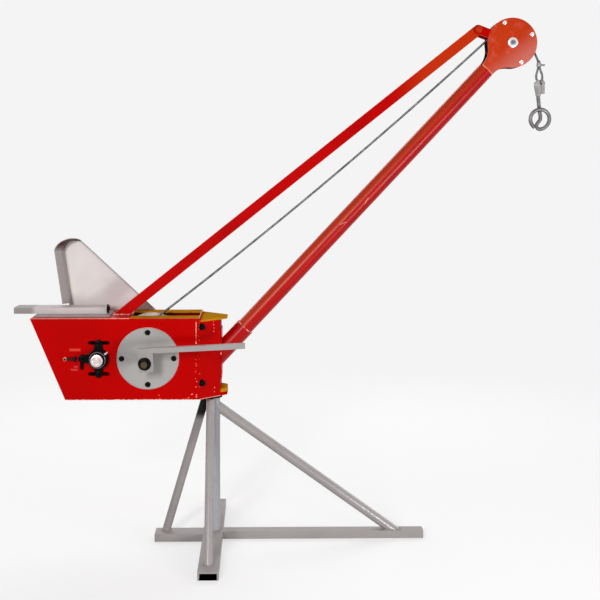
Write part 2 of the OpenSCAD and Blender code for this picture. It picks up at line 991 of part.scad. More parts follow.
// The rim as one closed skin, made of triangles
module guard_rim() {
    last = rim_steps + 1;
    side = 6;
    function quad(a, b, c, d) = [[a, c, b], [a, d, c]];
    polyhedron(
        points = [for (i = [0:last]) each rim_section(i)],
        faces = concat(
            quad(0, 5, 4, 1), quad(1, 4, 3, 2),
            [for (i = [0:last - 1], k = [0:side - 1])
                let(a = i * side, n = (k + 1) % side)
                each quad(a + k, a + n, a + side + n, a + side + k)],
            quad(last * side, last * side + 1, last * side + 4, last * side + 5),
            quad(last * side + 1, last * side + 2, last * side + 3, last * side + 4)));
}

module belt_guard() {
    room = 5;
    rail_top = box_top + motor_plate_t + rail_h + room;
    rail_back = rail_w - rail_front + 3 * room;
    color("#D7CDCD")
        difference() {
            union() {
                upright(guard_y, guard_y + guard_t)
                    guard_outline(0);
                // the lip all round
                upright(guard_y - guard_lip, guard_y + 1)
                    guard_band();
                guard_rim();
            }
            translate([guard_tip.x - 2 * flare_out, 0, box_top - 1])
                cube([guard_left, rail_back, rail_top - box_top + 1]);
        }
}

// ---- Rope ----

lay_off = 20;
drum_wrap_r = drum_pack_r + rope_r + slide_gap;
leave_angle = 36.9;
meet_angle = 42.8;
rope_from = [-drum_x - drum_wrap_r * sin(leave_angle), drum_z + drum_wrap_r * cos(leave_angle)];
rope_to = [head_x - sheave_rope_r * sin(meet_angle), head_z + sheave_rope_r * cos(meet_angle)];
rope_sag = 30;

// The slack run from the drum to the head: a straight line less a parabola
function slack(t) = rope_from + t * (rope_to - rope_from) - [0, 4 * rope_sag * t * (1 - t)];

// The rope over the sheave
function over_sheave(t) =
    let(a = 90 + meet_angle + t * (lay_off - 90 - meet_angle))
    [head_x + sheave_rope_r * cos(a), head_z + sheave_rope_r * sin(a)];

// The hole in the hook's upper end, which the rope goes through from the back to the front
hook_hole = [head_x + 116.5, head_z - 152.5];
fold_half = fold_t / 2;
pass_y = fold_half + rope_r + slide_gap + 0.5;
bend_r = 6;
clip_x = hook_hole.x - 7.3;
clip_low = hook_hole.y + 64;
clip_top = hook_hole.y + 78;
clip_y = rope_r + slide_gap;

// The bend from one side of the folded end into its hole; side is 1 at the back and -1 in front
function into_hole(side, a) =
    [hook_hole.x, side * (pass_y - bend_r + bend_r * cos(a)), hook_hole.y + bend_r - bend_r * sin(a)];

rope_route = concat(
    [for (i = [0:20]) let(p = slack(i / 20)) [p.x, 0, p.y]],
    [for (i = [1:12]) let(p = over_sheave(i / 12)) [p.x, 0, p.y]],
    [[clip_x - 4.5, 2.5, clip_top + 13], [clip_x - 1, clip_y - 0.5, clip_top + 5],
        [clip_x, clip_y, clip_top + 1], [clip_x, clip_y, clip_low - 1], [clip_x - 3, 8, clip_low - 13],
        [clip_x - 6, pass_y - 1, clip_low - 28], [clip_x - 6.5, pass_y, clip_low - 42],
        [clip_x - 1, pass_y, hook_hole.y + 12]],
    [for (a = [0:22.5:90]) into_hole(1, a)],
    [for (a = [90:-22.5:0]) into_hole(-1, a)],
    [[hook_hole.x + 2, -pass_y, hook_hole.y + 16], [hook_hole.x + 2, 1 - pass_y, clip_low - 32],
        [clip_x + 3, -8, clip_low - 13], [clip_x, -clip_y, clip_low - 1], [clip_x, -clip_y, clip_top + 9]]);

// One closed skin round a line of points: rings of a given number of sides, set by a direction across them
module sweep(points, r, sides, guide = [0, 1, 0]) {
    last = len(points) - 1;
    function heading(i) =
        let(v = points[min(i + 1, last)] - points[max(i - 1, 0)]) v / norm(v);
    function ring(i) =
        let(
            t = heading(i),
            side = cross(t, guide) / norm(cross(t, guide)),
            up = cross(side, t)
        )
        [for (k = [0:sides - 1]) points[i] + r * (cos(360 * k / sides) * side + sin(360 * k / sides) * up)];
    polyhedron(
        points = [for (i = [0:last]) each ring(i)],
        faces = concat(
            [[for (k = [0:sides - 1]) k]],
            [for (i = [0:last - 1], k = [0:sides - 1])
                let(a = i * sides, n = (k + 1) % sides)
                [a + n, a + k, a + sides + k, a + sides + n]],
            [[for (k = [sides - 1:-1:0]) last * sides + k]]));
}

module hoist_rope() {
    color("#505050")
        sweep(rope_route, rope_r, 8, [0.5, 0.7, 0.5]);
}

// A saddle round both strands, with the two legs of its clip pointing to the right
module rope_clip() {
    wall = 3.5;
    leg_r = 3;
    leg_l = 22;
    height = clip_top - clip_low;
    color(grey)
        difference() {
            union() {
                translate([clip_x, 0, clip_low])
                    linear_extrude(height)
                        rotate(90)
                            slot(2 * (clip_y + rope_r + wall), rope_d + 2 * wall);
                for (side = [-1, 1])
                    translate([clip_x, side * clip_y, clip_low + height / 2])
                        rotate([0, 90, 0])
                            cylinder(r = leg_r, h = leg_l);
            }
            for (side = [-1, 1])
                translate([clip_x, side * clip_y, clip_low - 1])
                    cylinder(r = rope_r + pin_gap, h = height + 2);
        }
}

// ---- Hook ----

fold_r = 15;
fold_low = 48;

// The hook's upper end: the bar is folded down beside itself and leaves a hole under the fold
module hook_clevis() {
    left = 23;
    tab_w = 12.5;
    tab_low = 39;
    seam = 1.2;
    color(grey)
        translate([hook_hole.x, 0, hook_hole.y])
            upright(-fold_half, fold_half)
                difference() {
                    union() {
                        circle(r = fold_r);
                        polygon([[-left, 6], [-left, -12], [-16.5, -fold_low], [-1.5, -fold_low],
                            [seam, -30], [seam, 0], [-6, 12], [-18, 12]]);
                        translate([seam, -tab_low])
                            square([tab_w, tab_low]);
                    }
                    circle(d = liner_d + 2 * pin_gap);
                    translate([0, -tab_low - 1])
                        square([seam, tab_low - liner_d / 2 + 2]);
                }
}

// The liner in that hole, which the rope runs through
module hook_pin() {
    color(steel)
        translate([hook_hole.x, 0, hook_hole.y])
            difference() {
                cross_bar(0, 0, liner_d / 2, -fold_half, fold_half);
                cross_bar(0, 0, rope_r + 0.5, -fold_half - 1, fold_half + 1);
            }
}

ring_mid = [hook_hole.x - 3.3, hook_hole.y - ring_drop];

// The bar down from the folded end into the ring, as offsets across, back and up from the ring's middle
shank_route = [[-5.7, 0, ring_drop - fold_low], [-5.7, 0, ring_drop - fold_low - 4], [-4.2, 0.5, 70],
    [-2.2, 2.5, 58], [0, 5.5, 47], [2, 8, 38], [3.5, 9, 27], [6.5, 9, 12], [5, 9, -1], [-2.5, 8.8, -11],
    [-8.5, 8.3, -19], [-9, 7.5, -28], [-3.5, 6.6, -35.5]];

// The ring itself, from its foot round the right, over the shank and down the left
ring_from = -82;
ring_to = 236;
ring_steps = 27;
ring_route = [for (i = [0:ring_steps]) let(a = ring_from + (ring_to - ring_from) * i / ring_steps)
    [hook_ring_r * cos(a), 5.5 - 15 * min(1, 2.1 * i / ring_steps), hook_ring_r * sin(a)]];

module pigtail_hook() {
    color(grey)
        sweep([for (p = concat(shank_route, ring_route)) [ring_mid.x, 0, ring_mid.y] + p],
            hook_bar_d / 2, 12);
}

base_channel();
short_foot();
long_foot();
post();
left_brace();
long_brace();
front_brace();
back_brace();
slewing_collar();
front_wall();
back_wall();
end_wall();
floor_plate();
top_plate();
top_strips();
bulkhead();
nose_top_plate();
nose_bottom_plate();
nose_sides();
jib_plate();
pivot_sleeve();
jib_socket();
jib_tube();
stay_tube();
stay_lugs();
front_cheek();
rear_cheek();
head_pins();
bearing_cover();
input_housing();
input_shaft();
latch_pin();
motor_plate();
motor_rail();
belt_guard();
hoist_rope();
rope_clip();
rope_drum();
rope_pack();
lever();
head_sheave();
hook_clevis();
hook_pin();
pigtail_hook();
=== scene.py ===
"""Dresses the portable mini crane: finishes, bolts, welds, rope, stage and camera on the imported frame."""

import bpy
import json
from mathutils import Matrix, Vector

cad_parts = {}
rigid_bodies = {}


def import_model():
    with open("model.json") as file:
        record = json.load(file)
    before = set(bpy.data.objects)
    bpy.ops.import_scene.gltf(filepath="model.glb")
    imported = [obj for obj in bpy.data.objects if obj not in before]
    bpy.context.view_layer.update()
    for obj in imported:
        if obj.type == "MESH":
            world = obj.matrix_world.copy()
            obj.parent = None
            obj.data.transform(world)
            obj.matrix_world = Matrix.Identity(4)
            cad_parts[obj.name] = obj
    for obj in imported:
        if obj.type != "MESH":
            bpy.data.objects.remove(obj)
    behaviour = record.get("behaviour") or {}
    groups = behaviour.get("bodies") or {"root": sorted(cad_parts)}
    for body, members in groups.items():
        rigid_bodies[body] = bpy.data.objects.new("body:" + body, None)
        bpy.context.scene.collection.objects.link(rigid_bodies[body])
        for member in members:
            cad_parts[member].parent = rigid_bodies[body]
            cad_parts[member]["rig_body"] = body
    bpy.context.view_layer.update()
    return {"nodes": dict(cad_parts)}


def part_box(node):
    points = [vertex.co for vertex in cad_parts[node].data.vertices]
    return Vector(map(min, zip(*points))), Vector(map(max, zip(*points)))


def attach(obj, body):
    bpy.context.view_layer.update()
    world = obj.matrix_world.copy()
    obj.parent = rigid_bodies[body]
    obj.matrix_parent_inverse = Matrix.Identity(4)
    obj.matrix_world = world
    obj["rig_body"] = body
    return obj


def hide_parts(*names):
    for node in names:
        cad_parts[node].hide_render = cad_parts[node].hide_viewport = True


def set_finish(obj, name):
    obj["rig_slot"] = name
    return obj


bl_info = {
    "name": "Portable mini crane",
    "version": (1, 1, 0),
    "blender": (4, 5, 0),
    "location": "View3D > Sidebar > Crane",
    "description": "Finishes, fasteners, welds, rope, stage and camera for a portable mini crane",
    "category": "Object",
}

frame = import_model()

import json
import math
import random

import bmesh
import bpy
from mathutils import Euler, Matrix, Vector

MM = 0.001
NODES = frame["nodes"]


def middle(name):
    """Centre of a CAD node's box."""
    low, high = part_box(name)
    return (low + high) / 2


def linear(code):
    """sRGB hex to linear red, green and blue."""
    values = [int(code[i:i + 2], 16) / 255 for i in (1, 3, 5)]
    return tuple(v / 12.92 if v <= 0.04045 else ((v + 0.055) / 1.055) ** 2.4 for v in values)


# Places that several pieces share, read from the frame
DRUM = middle("bearing_cover")
SHAFT = middle("input_shaft")
HEAD = middle("head_sheave")
HOLE = middle("hook_pin")
WALL_LOW, WALL_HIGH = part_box("front_wall")
FRONT_Y = WALL_LOW.y
BASE_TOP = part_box("base_channel")[1].z

# The jib leaves the post's middle at this slope
JIB_SLOPE = 46.9
JIB_ANGLE = math.radians(JIB_SLOPE)
JIB_DIR = Vector((math.cos(JIB_ANGLE), 0, math.sin(JIB_ANGLE)))
JIB_UP = Vector((-JIB_DIR.z, 0, JIB_DIR.x))
JIB_START = Vector((0, 0, 692 * MM))

# The nose's slanting sides: where they start, how fast they close in and which way they face
NOSE_START = -51 * MM
NOSE_TAPER = 80 / 101
NOSE_FACING = Vector((0.621, 0.784, 0))

SIDES = ((-1, "front"), (1, "back"))
HALF_TURN = Matrix.Rotation(math.pi, 4, "X")
TO_FRONT = (0, -1, 0)


COLOUR = {"subtype": "COLOR", "size": 3, "min": 0, "max": 1}
LENGTH = {"subtype": "DISTANCE", "unit": "LENGTH", "precision": 4}


class CraneSettings(bpy.types.PropertyGroup):
    """Sizes and colours of the dressing."""

    red: bpy.props.FloatVectorProperty(
        name="Red enamel", description="Paint of the box, jib and stay", default=linear("#BC0000"), **COLOUR)
    head_red: bpy.props.FloatVectorProperty(
        name="Orange red enamel", description="Paint of the head's cheeks",
        default=linear("#C6380E"), **COLOUR)
    grey: bpy.props.FloatVectorProperty(
        name="Grey enamel", description="Paint of the base, lever and motor plate",
        default=linear("#A09A99"), **COLOUR)
    # This yellow is a painted reflection of a yellow surrounding on the plates on top of the box
    mustard: bpy.props.FloatVectorProperty(
        name="Zinc yellow", description="Passivated plates on top of the box",
        default=linear("#C08618"), **COLOUR)
    guard: bpy.props.FloatVectorProperty(
        name="Guard enamel", description="Paint of the belt guard's plate",
        default=linear("#E2DCDA"), **COLOUR)
    # The rim's darker colour is painted shade on its inner face
    guard_rim: bpy.props.FloatVectorProperty(
        name="Guard rim", description="Darker coat on the belt guard's rim",
        default=linear("#A09898"), **COLOUR)
    bead: bpy.props.FloatProperty(
        name="Weld bead", description="Radius of a weld bead",
        default=2.6 * MM, min=1 * MM, max=5 * MM, **LENGTH)
    ripple: bpy.props.FloatProperty(
        name="Weld ripple", description="Distance from one ripple of a weld to the next",
        default=4.0 * MM, min=1 * MM, max=10 * MM, **LENGTH)
    rope: bpy.props.FloatProperty(
        name="Rope diameter", description="Outer diameter of the wire rope",
        default=9.0 * MM, min=4 * MM, max=12 * MM, **LENGTH)
    lay: bpy.props.FloatProperty(
        name="Rope lay", description="Length in which a strand turns once round the rope",
        default=60 * MM, min=20 * MM, max=120 * MM, **LENGTH)
    backdrop: bpy.props.FloatVectorProperty(
        name="Backdrop", description="Colour behind the crane", default=linear("#F4F4F4"), **COLOUR)


def settings():
    return bpy.context.scene.crane


# ---- Materials ----

def add_node(tree, kind, links=None, sockets=None, stops=None, **values):
    """Adds a node, with its settings, socket values, a ramp's stops and links from other nodes' outputs."""
    made = tree.nodes.new(kind)
    for key, value in values.items():
        setattr(made, key, value)
    for key, value in (sockets or {}).items():
        made.inputs[key].default_value = value
    if stops:
        elements = made.color_ramp.elements
        while len(elements) < len(stops):
            elements.new(0.5)
        for element, (place, colour) in zip(elements, stops):
            element.position = place
            element.color = (*colour, 1)
    for key, source in (links or {}).items():
        tree.links.new(source, made.inputs[key])
    return made


def new_material(name):
    """An empty node material: the material, its tree and the Object coordinates that its patterns read."""
    made = bpy.data.materials.new(name)
    made.use_nodes = True
    made.node_tree.nodes.clear()
    place = add_node(made.node_tree, "ShaderNodeTexCoord").outputs["Object"]
    return made, made.node_tree, place


def close_material(tree, links, sockets):
    """Ends a material in one Principled shader."""
    body = add_node(tree, "ShaderNodeBsdfPrincipled", links, sockets)
    add_node(tree, "ShaderNodeOutputMaterial", {"Surface": body.outputs["BSDF"]})


BLACK = (0, 0, 0)
WHITE = (1, 1, 1)


def shade(colour, factor):
    return tuple(min(1.0, c * factor) for c in colour)


def faded(tree, place, tint, fade):
    """Turns one colour into another between two distances along a direction."""
    direction, start, end, colour = fade
    way = add_node(tree, "ShaderNodeVectorMath", {0: place}, {1: direction}, operation="DOT_PRODUCT")
    mask = add_node(tree, "ShaderNodeMapRange", {"Value": way.outputs["Value"]},
                    {"From Min": start, "From Max": end}, interpolation_type="SMOOTHSTEP")
    mixed = add_node(tree, "ShaderNodeMix", {"Factor": mask.outputs["Result"], "A": tint},
                     {"B": (*colour, 1)}, data_type="RGBA")
    return mixed.outputs["Result"]


def specked(tree, place, tint, colour, scale, low, high):
    """Lays flecks of another colour over one, where stretched noise is strongest."""
    stretch = add_node(tree, "ShaderNodeMapping", {"Vector": place}, {"Scale": scale})
    fine = add_node(tree, "ShaderNodeTexNoise", {"Vector": stretch.outputs["Vector"]},
                    {"Scale": 1.0, "Detail": 6.0, "Roughness": 0.7})
    mask = add_node(tree, "ShaderNodeValToRGB", {"Fac": fine.outputs["Fac"]},
                    stops=[(low, BLACK), (high, WHITE)])
    mixed = add_node(tree, "ShaderNodeMix", {"Factor": mask.outputs["Color"], "A": tint},
                     {"B": (*colour, 1)}, data_type="RGBA")
    return mixed.outputs["Result"]


def clouded(tree, place, size, detail, stops, roughness=0.5):
    """Broad cloudy noise: its strength, and the colour that a ramp gives to it."""
    noise = add_node(tree, "ShaderNodeTexNoise", {"Vector": place},
                     {"Scale": 1 / size, "Detail": detail, "Roughness": roughness})
    strength = noise.outputs["Fac"]
    return strength, add_node(tree, "ShaderNodeValToRGB", {"Fac": strength}, stops=stops).outputs["Color"]


def grained(tree, place, size, depth):
    """The normal of a surface with a fine even grain."""
    grain = add_node(tree, "ShaderNodeTexNoise", {"Vector": place}, {"Scale": 1 / size, "Detail": 2.0})
    return add_node(tree, "ShaderNodeBump", {"Height": grain.outputs["Fac"]},
                    {"Strength": 1.0, "Distance": depth}).outputs["Normal"]


def enamel(name, colour, roughness, specular=0.1, patches=0.08, flecks=None, fades=(), peel=6 * MM,
           depth=0.02 * MM):
    """Sprayed enamel on steel: a thin even coat with faint orange peel, broad patches a little darker or
    paler, and flecks where it is scuffed or chipped. A low specular level keeps its colour deep."""
    made, tree, place = new_material(name)
    broad, tint = clouded(tree, place, 0.16, 4.0, roughness=0.6, stops=[
        (0.3, shade(colour, 1 - patches)), (0.5, colour), (0.72, shade(colour, 1 + patches / 2))])
    for fade in fades:
        tint = faded(tree, place, tint, fade)
    if flecks:
        tint = specked(tree, place, tint, *flecks)
    rough = add_node(tree, "ShaderNodeMapRange", {"Value": broad},
                     {"To Min": roughness * 0.8, "To Max": roughness * 1.25})
    close_material(tree, {"Base Color": tint, "Roughness": rough.outputs["Result"],
                          "Normal": grained(tree, place, peel, depth)}, {"Specular IOR Level": specular})
    return made


def guard_enamel(plate, rim):
    """Pale enamel on the guard's sheet. The rim in front of it is painted darker, a painted shade on its
    inner face, and the faces that look down under the arch are painted dark brown as painted shade."""
    made, tree, place = new_material("Light grey enamel on sheet")
    tint = clouded(tree, place, 0.2, 3.0, [
        (0.35, linear("#D8CECF")), (0.6, plate), (0.75, linear("#EAE4DC"))])[1]
    # The rim in front of the sheet is painted darker: painted shade on its inner face
    tint = faded(tree, place, tint, (TO_FRONT, -114.5 * MM, -113.5 * MM, rim))
    # Faces that look down are painted dark brown: painted shade under the arch
    facing = add_node(tree, "ShaderNodeNewGeometry").outputs["Normal"]
    down = add_node(tree, "ShaderNodeVectorMath", {0: facing}, {1: (0.45, 0, -0.9)}, operation="DOT_PRODUCT")
    under = add_node(tree, "ShaderNodeMapRange", {"Value": down.outputs["Value"]},
                     {"From Min": 0.35, "From Max": 0.8})
    dark = add_node(tree, "ShaderNodeMix", {"Factor": under.outputs["Result"], "A": tint},
                    {"B": (*linear("#3A1E12"), 1)}, data_type="RGBA")
    close_material(tree, {"Base Color": dark.outputs["Result"],
                          "Normal": grained(tree, place, 8 * MM, 0.03 * MM)},
                   {"Roughness": 0.4, "Specular IOR Level": 0.3})
    return made


def bare_metal(name, colour, tint, roughness, grain=(400, 400, 30), strength=0.15):
    """Uncoated or plated steel: a metal with fine directional turning or rolling marks and cloudy patches."""
    made, tree, place = new_material(name)
    stretch = add_node(tree, "ShaderNodeMapping", {"Vector": place}, {"Scale": grain})
    marks = add_node(tree, "ShaderNodeTexNoise", {"Vector": stretch.outputs["Vector"]},
                     {"Scale": 1.0, "Detail": 3.0}).outputs["Fac"]
    clouds = clouded(tree, place, 0.03, 3.0, [(0.35, tint), (0.65, colour)])[1]
    rough = add_node(tree, "ShaderNodeMapRange", {"Value": marks},
                     {"To Min": roughness * 0.7, "To Max": roughness * 1.3})
    bump = add_node(tree, "ShaderNodeBump", {"Height": marks}, {"Strength": strength, "Distance": 0.2 * MM})
    close_material(tree, {"Base Color": clouds, "Roughness": rough.outputs["Result"],
                          "Normal": bump.outputs["Normal"]}, {"Metallic": 1.0})
    return made


FINISH = {}


def make_finishes():
    """Every material of the crane, by name."""
    s = settings()
    red, head_red, grey, mustard = tuple(s.red), tuple(s.head_red), tuple(s.grey), tuple(s.mustard)
    tube, black = shade(red, 0.86), linear("#0C0A09")
    up, down, right, left, to_back = (0, 0, 1), (0, 0, -1), (1, 0, 0), (-1, 0, 0), (0, 1, 0)
    # Each kind of fleck: its colour, how often it comes along X, Y and Z, and the noise at which it starts
    scuffs = (linear("#8C0A08"), (14, 50, 70), 0.68, 0.75)
    grey_scuffs = (linear("#8A8583"), (18, 60, 90), 0.66, 0.73)
    pale_chips_and_glints = (linear("#FFC0A8"), (110, 110, 110), 0.5, 0.56)
    haze = (linear("#D4584A"), (28, 28, 28), 0.52, 0.72)
    # Paint that is drawn smooth on a tube, and paint over a weld's spatter
    smooth = {"patches": 0.15, "peel": 60 * MM, "depth": 0.005 * MM}
    spattered = {"peel": 2 * MM, "depth": 0.05 * MM}
    # The head's cheeks are hazed towards their lower right. Their inner faces and edges are painted black:
    # painted shade in the gap between them
    slant = (0.62, 0, -0.78)
    head_at = HEAD.dot(Vector(slant))
    weather = (slant, head_at - 10 * MM, head_at + 100 * MM, linear("#CE7668"))
    # Painted shade: black on each cheek's face towards the other
    inside = (-26 * MM, -25 * MM, black)
    jib_at = JIB_START.dot(JIB_UP)
    FINISH.update({
        # Gloss enamel on the box: a deep colour
        "red": enamel("Red gloss enamel", red, 0.2, 0.05, flecks=scuffs, peel=25 * MM),
        "tube_red": enamel("Red gloss enamel on tube", tube, 0.3, 0.2, **smooth),
        # The jib's upper side is painted orange, a painted reflection along the tube's top, and the stay's
        # upper end fades to orange like the head
        "jib_red": enamel("Red gloss enamel, faded on top", tube, 0.3, 0.2, **smooth, fades=[
            (tuple(JIB_UP), jib_at - 4 * MM, jib_at + 14 * MM, linear("#B62E08"))]),
        "stay_red": enamel("Red enamel, faded end", red, 0.24, 0.07, **smooth, fades=[
            (right, 660 * MM, 850 * MM, linear("#C43008"))]),
        "front_red": enamel("Weathered red enamel", head_red, 0.3, 0.1, flecks=haze,
                            fades=[weather, (to_back, *inside)]),
        "rear_red": enamel("Weathered red enamel, rear", head_red, 0.3, 0.1, flecks=haze,
                           fades=[weather, (TO_FRONT, *inside)]),
        # The bulkhead's upper edge lies in line with the yellow plates and is painted their yellow, the same
        # painted reflection
        "edge_yellow": enamel("Red enamel, yellow edge", red, 0.3, 0.08, fades=[
            (up, 865.2 * MM, 866 * MM, mustard)]),
        # Satin enamel of the base and the lever
        "grey": enamel("Grey satin enamel", grey, 0.4, 0.3, flecks=grey_scuffs),
        # The left and back braces are painted black towards their tops, from 455 to 490 mm up: painted shadow
        # under the box and the slewing collar
        "painted_shadow_grey": enamel("Grey enamel with grease", shade(grey, 0.9), 0.35, 0.15, flecks=grey_scuffs, fades=[
            (up, 455 * MM, 490 * MM, black)]),
        "tube_grey": enamel("Grey enamel on tube", shade(grey, 0.93), 0.26, 0.6, flecks=grey_scuffs,
                            peel=40 * MM),
        "post": enamel("Grey enamel, bluish", linear("#A6A5A8"), 0.4, 0.3, flecks=grey_scuffs),
        # The rail turns darker towards its free left end
        "rail": enamel("Grey enamel, oil stained", linear("#CEC2C1"), 0.4, 0.3, patches=0.12, fades=[
            (left, 675 * MM, 700 * MM, linear("#978F8D"))]),
        "cover": enamel("Grey enamel on turned plate", linear("#A7A4A1"), 0.34, 0.3, patches=0.16),
        # Yellow on the plates on top of the box: a painted reflection of a yellow surrounding on their upper
        # faces, with brown flecks
        "mustard": enamel("Zinc yellow passivation", mustard, 0.6, 0.0, patches=0.25,
                          flecks=(linear("#8A5212"), (30, 30, 30), 0.6, 0.7)),
        "nose_yellow": enamel("Zinc yellow, red overspray", mustard, 0.6, 0.0, patches=0.3, fades=[
            (left, 38 * MM, 52 * MM, linear("#C8300E"))]),
        # Painted reflection: yellow on the lower nose plate's upper face, its red edge below
        "lug_yellow": enamel("Zinc yellow on a red plate", mustard, 0.6, 0.0, patches=0.2, fades=[
            (down, -579 * MM, -575 * MM, red)]),
        # Brushed-on black, thick and a little glossy. On the slewing collar this black is painted shadow
        # under the box
        "black": enamel("Black enamel on cast iron", linear("#070606"), 0.35, 0.05, peel=3 * MM,
                        depth=0.06 * MM),
        # The latch pin is painted dark red, near black: painted shade along a red pin
        "painted_shade_pin": enamel("Black enamel on a red pin", linear("#2A0808"), 0.35, 0.1),
        "rubber": enamel("Black rubber", linear("#0A0909"), 0.6, 0.1, peel=2 * MM),
        # Black oxide is a thin dull skin, so it shades like a dark paint
        "blackened": enamel("Blackened bolt steel", linear("#070606"), 0.3, 0.06, peel=3 * MM,
                            depth=0.04 * MM),
        "thread": enamel("Greased thread, dark yellow", linear("#4A3E28"), 0.4, 0.2),
        "tag": enamel("Orange red label plate", linear("#DC3A28"), 0.35, 0.2),
        "dark_tag": enamel("Dull red label plate", linear("#C63632"), 0.35, 0.2),
        # The latch grip's pale colour is a painted highlight on the pin's round end
        "grip": enamel("Worn copper ball", linear("#EE9A78"), 0.3, 0.5),
        # A weld's pale flecks are chipped paint and painted highlights on its spatter and ripples. The pale
        # seams and drops are weld metal with painted highlight in their colour
        "weld": enamel("Painted weld, red", shade(red, 1.15), 0.3, 0.5, patches=0.3, flecks=pale_chips_and_glints,
                       **spattered),
        "seam": enamel("Bare seam, pale red", linear("#E88C76"), 0.3, 0.5, patches=0.35, **spattered),
        "drop": enamel("Bare weld drop", linear("#F07C68"), 0.3, 0.4, patches=0.25, **spattered),
        "weld_grey": enamel("Painted weld, grey", shade(grey, 0.8), 0.45, 0.4, patches=0.3, **spattered),
        "guard": guard_enamel(tuple(s.guard), tuple(s.guard_rim)),
    })
    for key, name, colour, tint, roughness, more in (
            ("steel", "Turned steel", "#DCD4D3", "#C4BCBB", 0.34, {}),
            ("shaft", "Turned shaft end", "#E2D2D0", "#C4B4B4", 0.3, {}),
            ("bright", "Bright zinc", "#EFE6E6", "#DCD2D2", 0.25, {"strength": 0.08}),
            ("zinc", "Dull zinc plating", "#989594", "#787574", 0.45, {"grain": (90, 90, 90)}),
            ("hook_steel", "Forged and zinc-plated bar", "#7A7777", "#5C5A5B", 0.5, {"grain": (60, 60, 60)}),
            ("blued", "Blued axle steel", "#7C8894", "#5E6872", 0.35, {}),
            ("rope", "Greased wire rope", "#7C797A", "#565455", 0.45, {"grain": (200, 200, 200)}),
            # The pale ring round the bearing cover's edge is a painted highlight of its chamfer
            ("painted_glint", "Worn rolled edge", "#E8C8BE", "#C89A8C", 0.35, {})):
        FINISH[key] = bare_metal(name, linear(colour), linear(tint), roughness, **more)


NODE_FINISH = {
    # The left and back braces carry a painted shadow at their tops
    "base_channel": "grey", "short_foot": "grey", "long_foot": "grey", "post": "post", "left_brace": "painted_shadow_grey",
    # The slewing collar's black is painted shadow under the box
    "long_brace": "tube_grey", "front_brace": "tube_grey", "back_brace": "painted_shadow_grey", "slewing_collar": "black",
    "top_strips": "mustard", "nose_top_plate": "nose_yellow", "nose_bottom_plate": "lug_yellow",
    "front_cheek": "front_red", "rear_cheek": "rear_red", "head_pins": "bright", "jib_tube": "jib_red",
    "jib_socket": "tube_red", "stay_tube": "stay_red", "bulkhead": "edge_yellow", "bearing_cover": "cover",
    "input_housing": "black", "input_shaft": "shaft", "latch_pin": "painted_shade_pin", "motor_plate": "grey",
    "motor_rail": "rail", "belt_guard": "guard", "hoist_rope": "rope", "rope_clip": "zinc",
    "rope_drum": "steel", "rope_pack": "rope", "lever": "grey", "head_sheave": "steel", "hook_clevis": "zinc",
    "hook_pin": "zinc", "pigtail_hook": "hook_steel",
}


def dress(piece, finish):
    """Gives a piece one material."""
    piece.data.materials.clear()
    piece.data.materials.append(FINISH[finish])


def deselect_all():
    if bpy.context.object and bpy.context.object.mode != "OBJECT":
        bpy.ops.object.mode_set(mode="OBJECT")
    bpy.ops.object.select_all(action="DESELECT")


def take(piece):
    """Selects one piece alone and makes it the active one."""
    deselect_all()
    piece.select_set(True)
    bpy.context.view_layer.objects.active = piece


def together(pieces):
    """Selects several pieces and makes the first one active."""
    take(pieces[0])
    for piece in pieces:
        piece.select_set(True)


# ---- Modelling ----

def begin(add, **sizes):
    """Adds one primitive with nothing else selected."""
    deselect_all()
    add(**sizes)
    return bpy.context.object


def edit(piece):
    """Opens a piece's mesh with all of it selected."""
    take(piece)
    bpy.ops.object.mode_set(mode="EDIT")
    bpy.ops.mesh.select_all(action="SELECT")


def pick(piece, kind, test):
    """In edit mode, selects the vertices, edges or faces whose middle passes a test."""
    bpy.ops.mesh.select_mode(type=kind)
    bpy.ops.mesh.select_all(action="DESELECT")
    shape = bmesh.from_edit_mesh(piece.data)
    for part in {"VERT": shape.verts, "EDGE": shape.edges, "FACE": shape.faces}[kind]:
        spots = [part.co] if kind == "VERT" else [v.co for v in part.verts]
        part.select_set(bool(test(sum(spots, Vector()) / len(spots))))
    shape.select_flush_mode()
    bmesh.update_edit_mesh(piece.data)


def about(point, turn):
    """A turn round a point, as a matrix."""
    return Matrix.Translation(point) @ turn @ Matrix.Translation(-Vector(point))


def settle(piece, name, finish, body, slot, smooth=35):
    """Names a finished piece, puts its place in its mesh and gives it its finish, body and slot. Edges below
    an angle in degrees are shaded smooth."""
    take(piece)
    if piece.type != "MESH":
        bpy.ops.object.convert(target="MESH")
    bpy.ops.object.transform_apply()
    piece.name = piece.data.name = name
    dress(piece, finish)
    bpy.ops.object.shade_smooth_by_angle(angle=math.radians(smooth))
    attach(piece, body)
    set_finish(piece, slot)
    return piece


def copies(piece, moves):
    """Copies of a settled piece, each with a mesh of its own, carried off by a matrix."""
    for name, move in moves.items():
        take(piece)
        bpy.ops.object.duplicate(linked=False)
        twin = bpy.context.object
        twin.data.transform(move)
        twin.name = twin.data.name = name
        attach(twin, piece["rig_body"])
        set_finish(twin, piece["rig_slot"])


def ridged(pitch, turns, depth=0.1):
    """In edit mode, draws the selected end face out as a thread: a waist and a crest to each pitch."""
    for _ in range(turns):
        for factor in (1 - depth, 1 / (1 - depth)):
            bpy.ops.mesh.extrude_region_move(TRANSFORM_OT_translate={"value": (0, 0, pitch / 2)})
            bpy.ops.transform.resize(value=(factor, factor, 1), center_override=(0, 0, 0))


def prism(sides, radius, height, lift=0.0):
    """A prism or cylinder standing on its origin, or lifted above it, open for editing."""
    piece = begin(bpy.ops.mesh.primitive_cylinder_add, vertices=sides, radius=radius, depth=height,
                  location=(0, 0, height / 2 + lift))
    bpy.ops.object.transform_apply()
    edit(piece)
    return piece


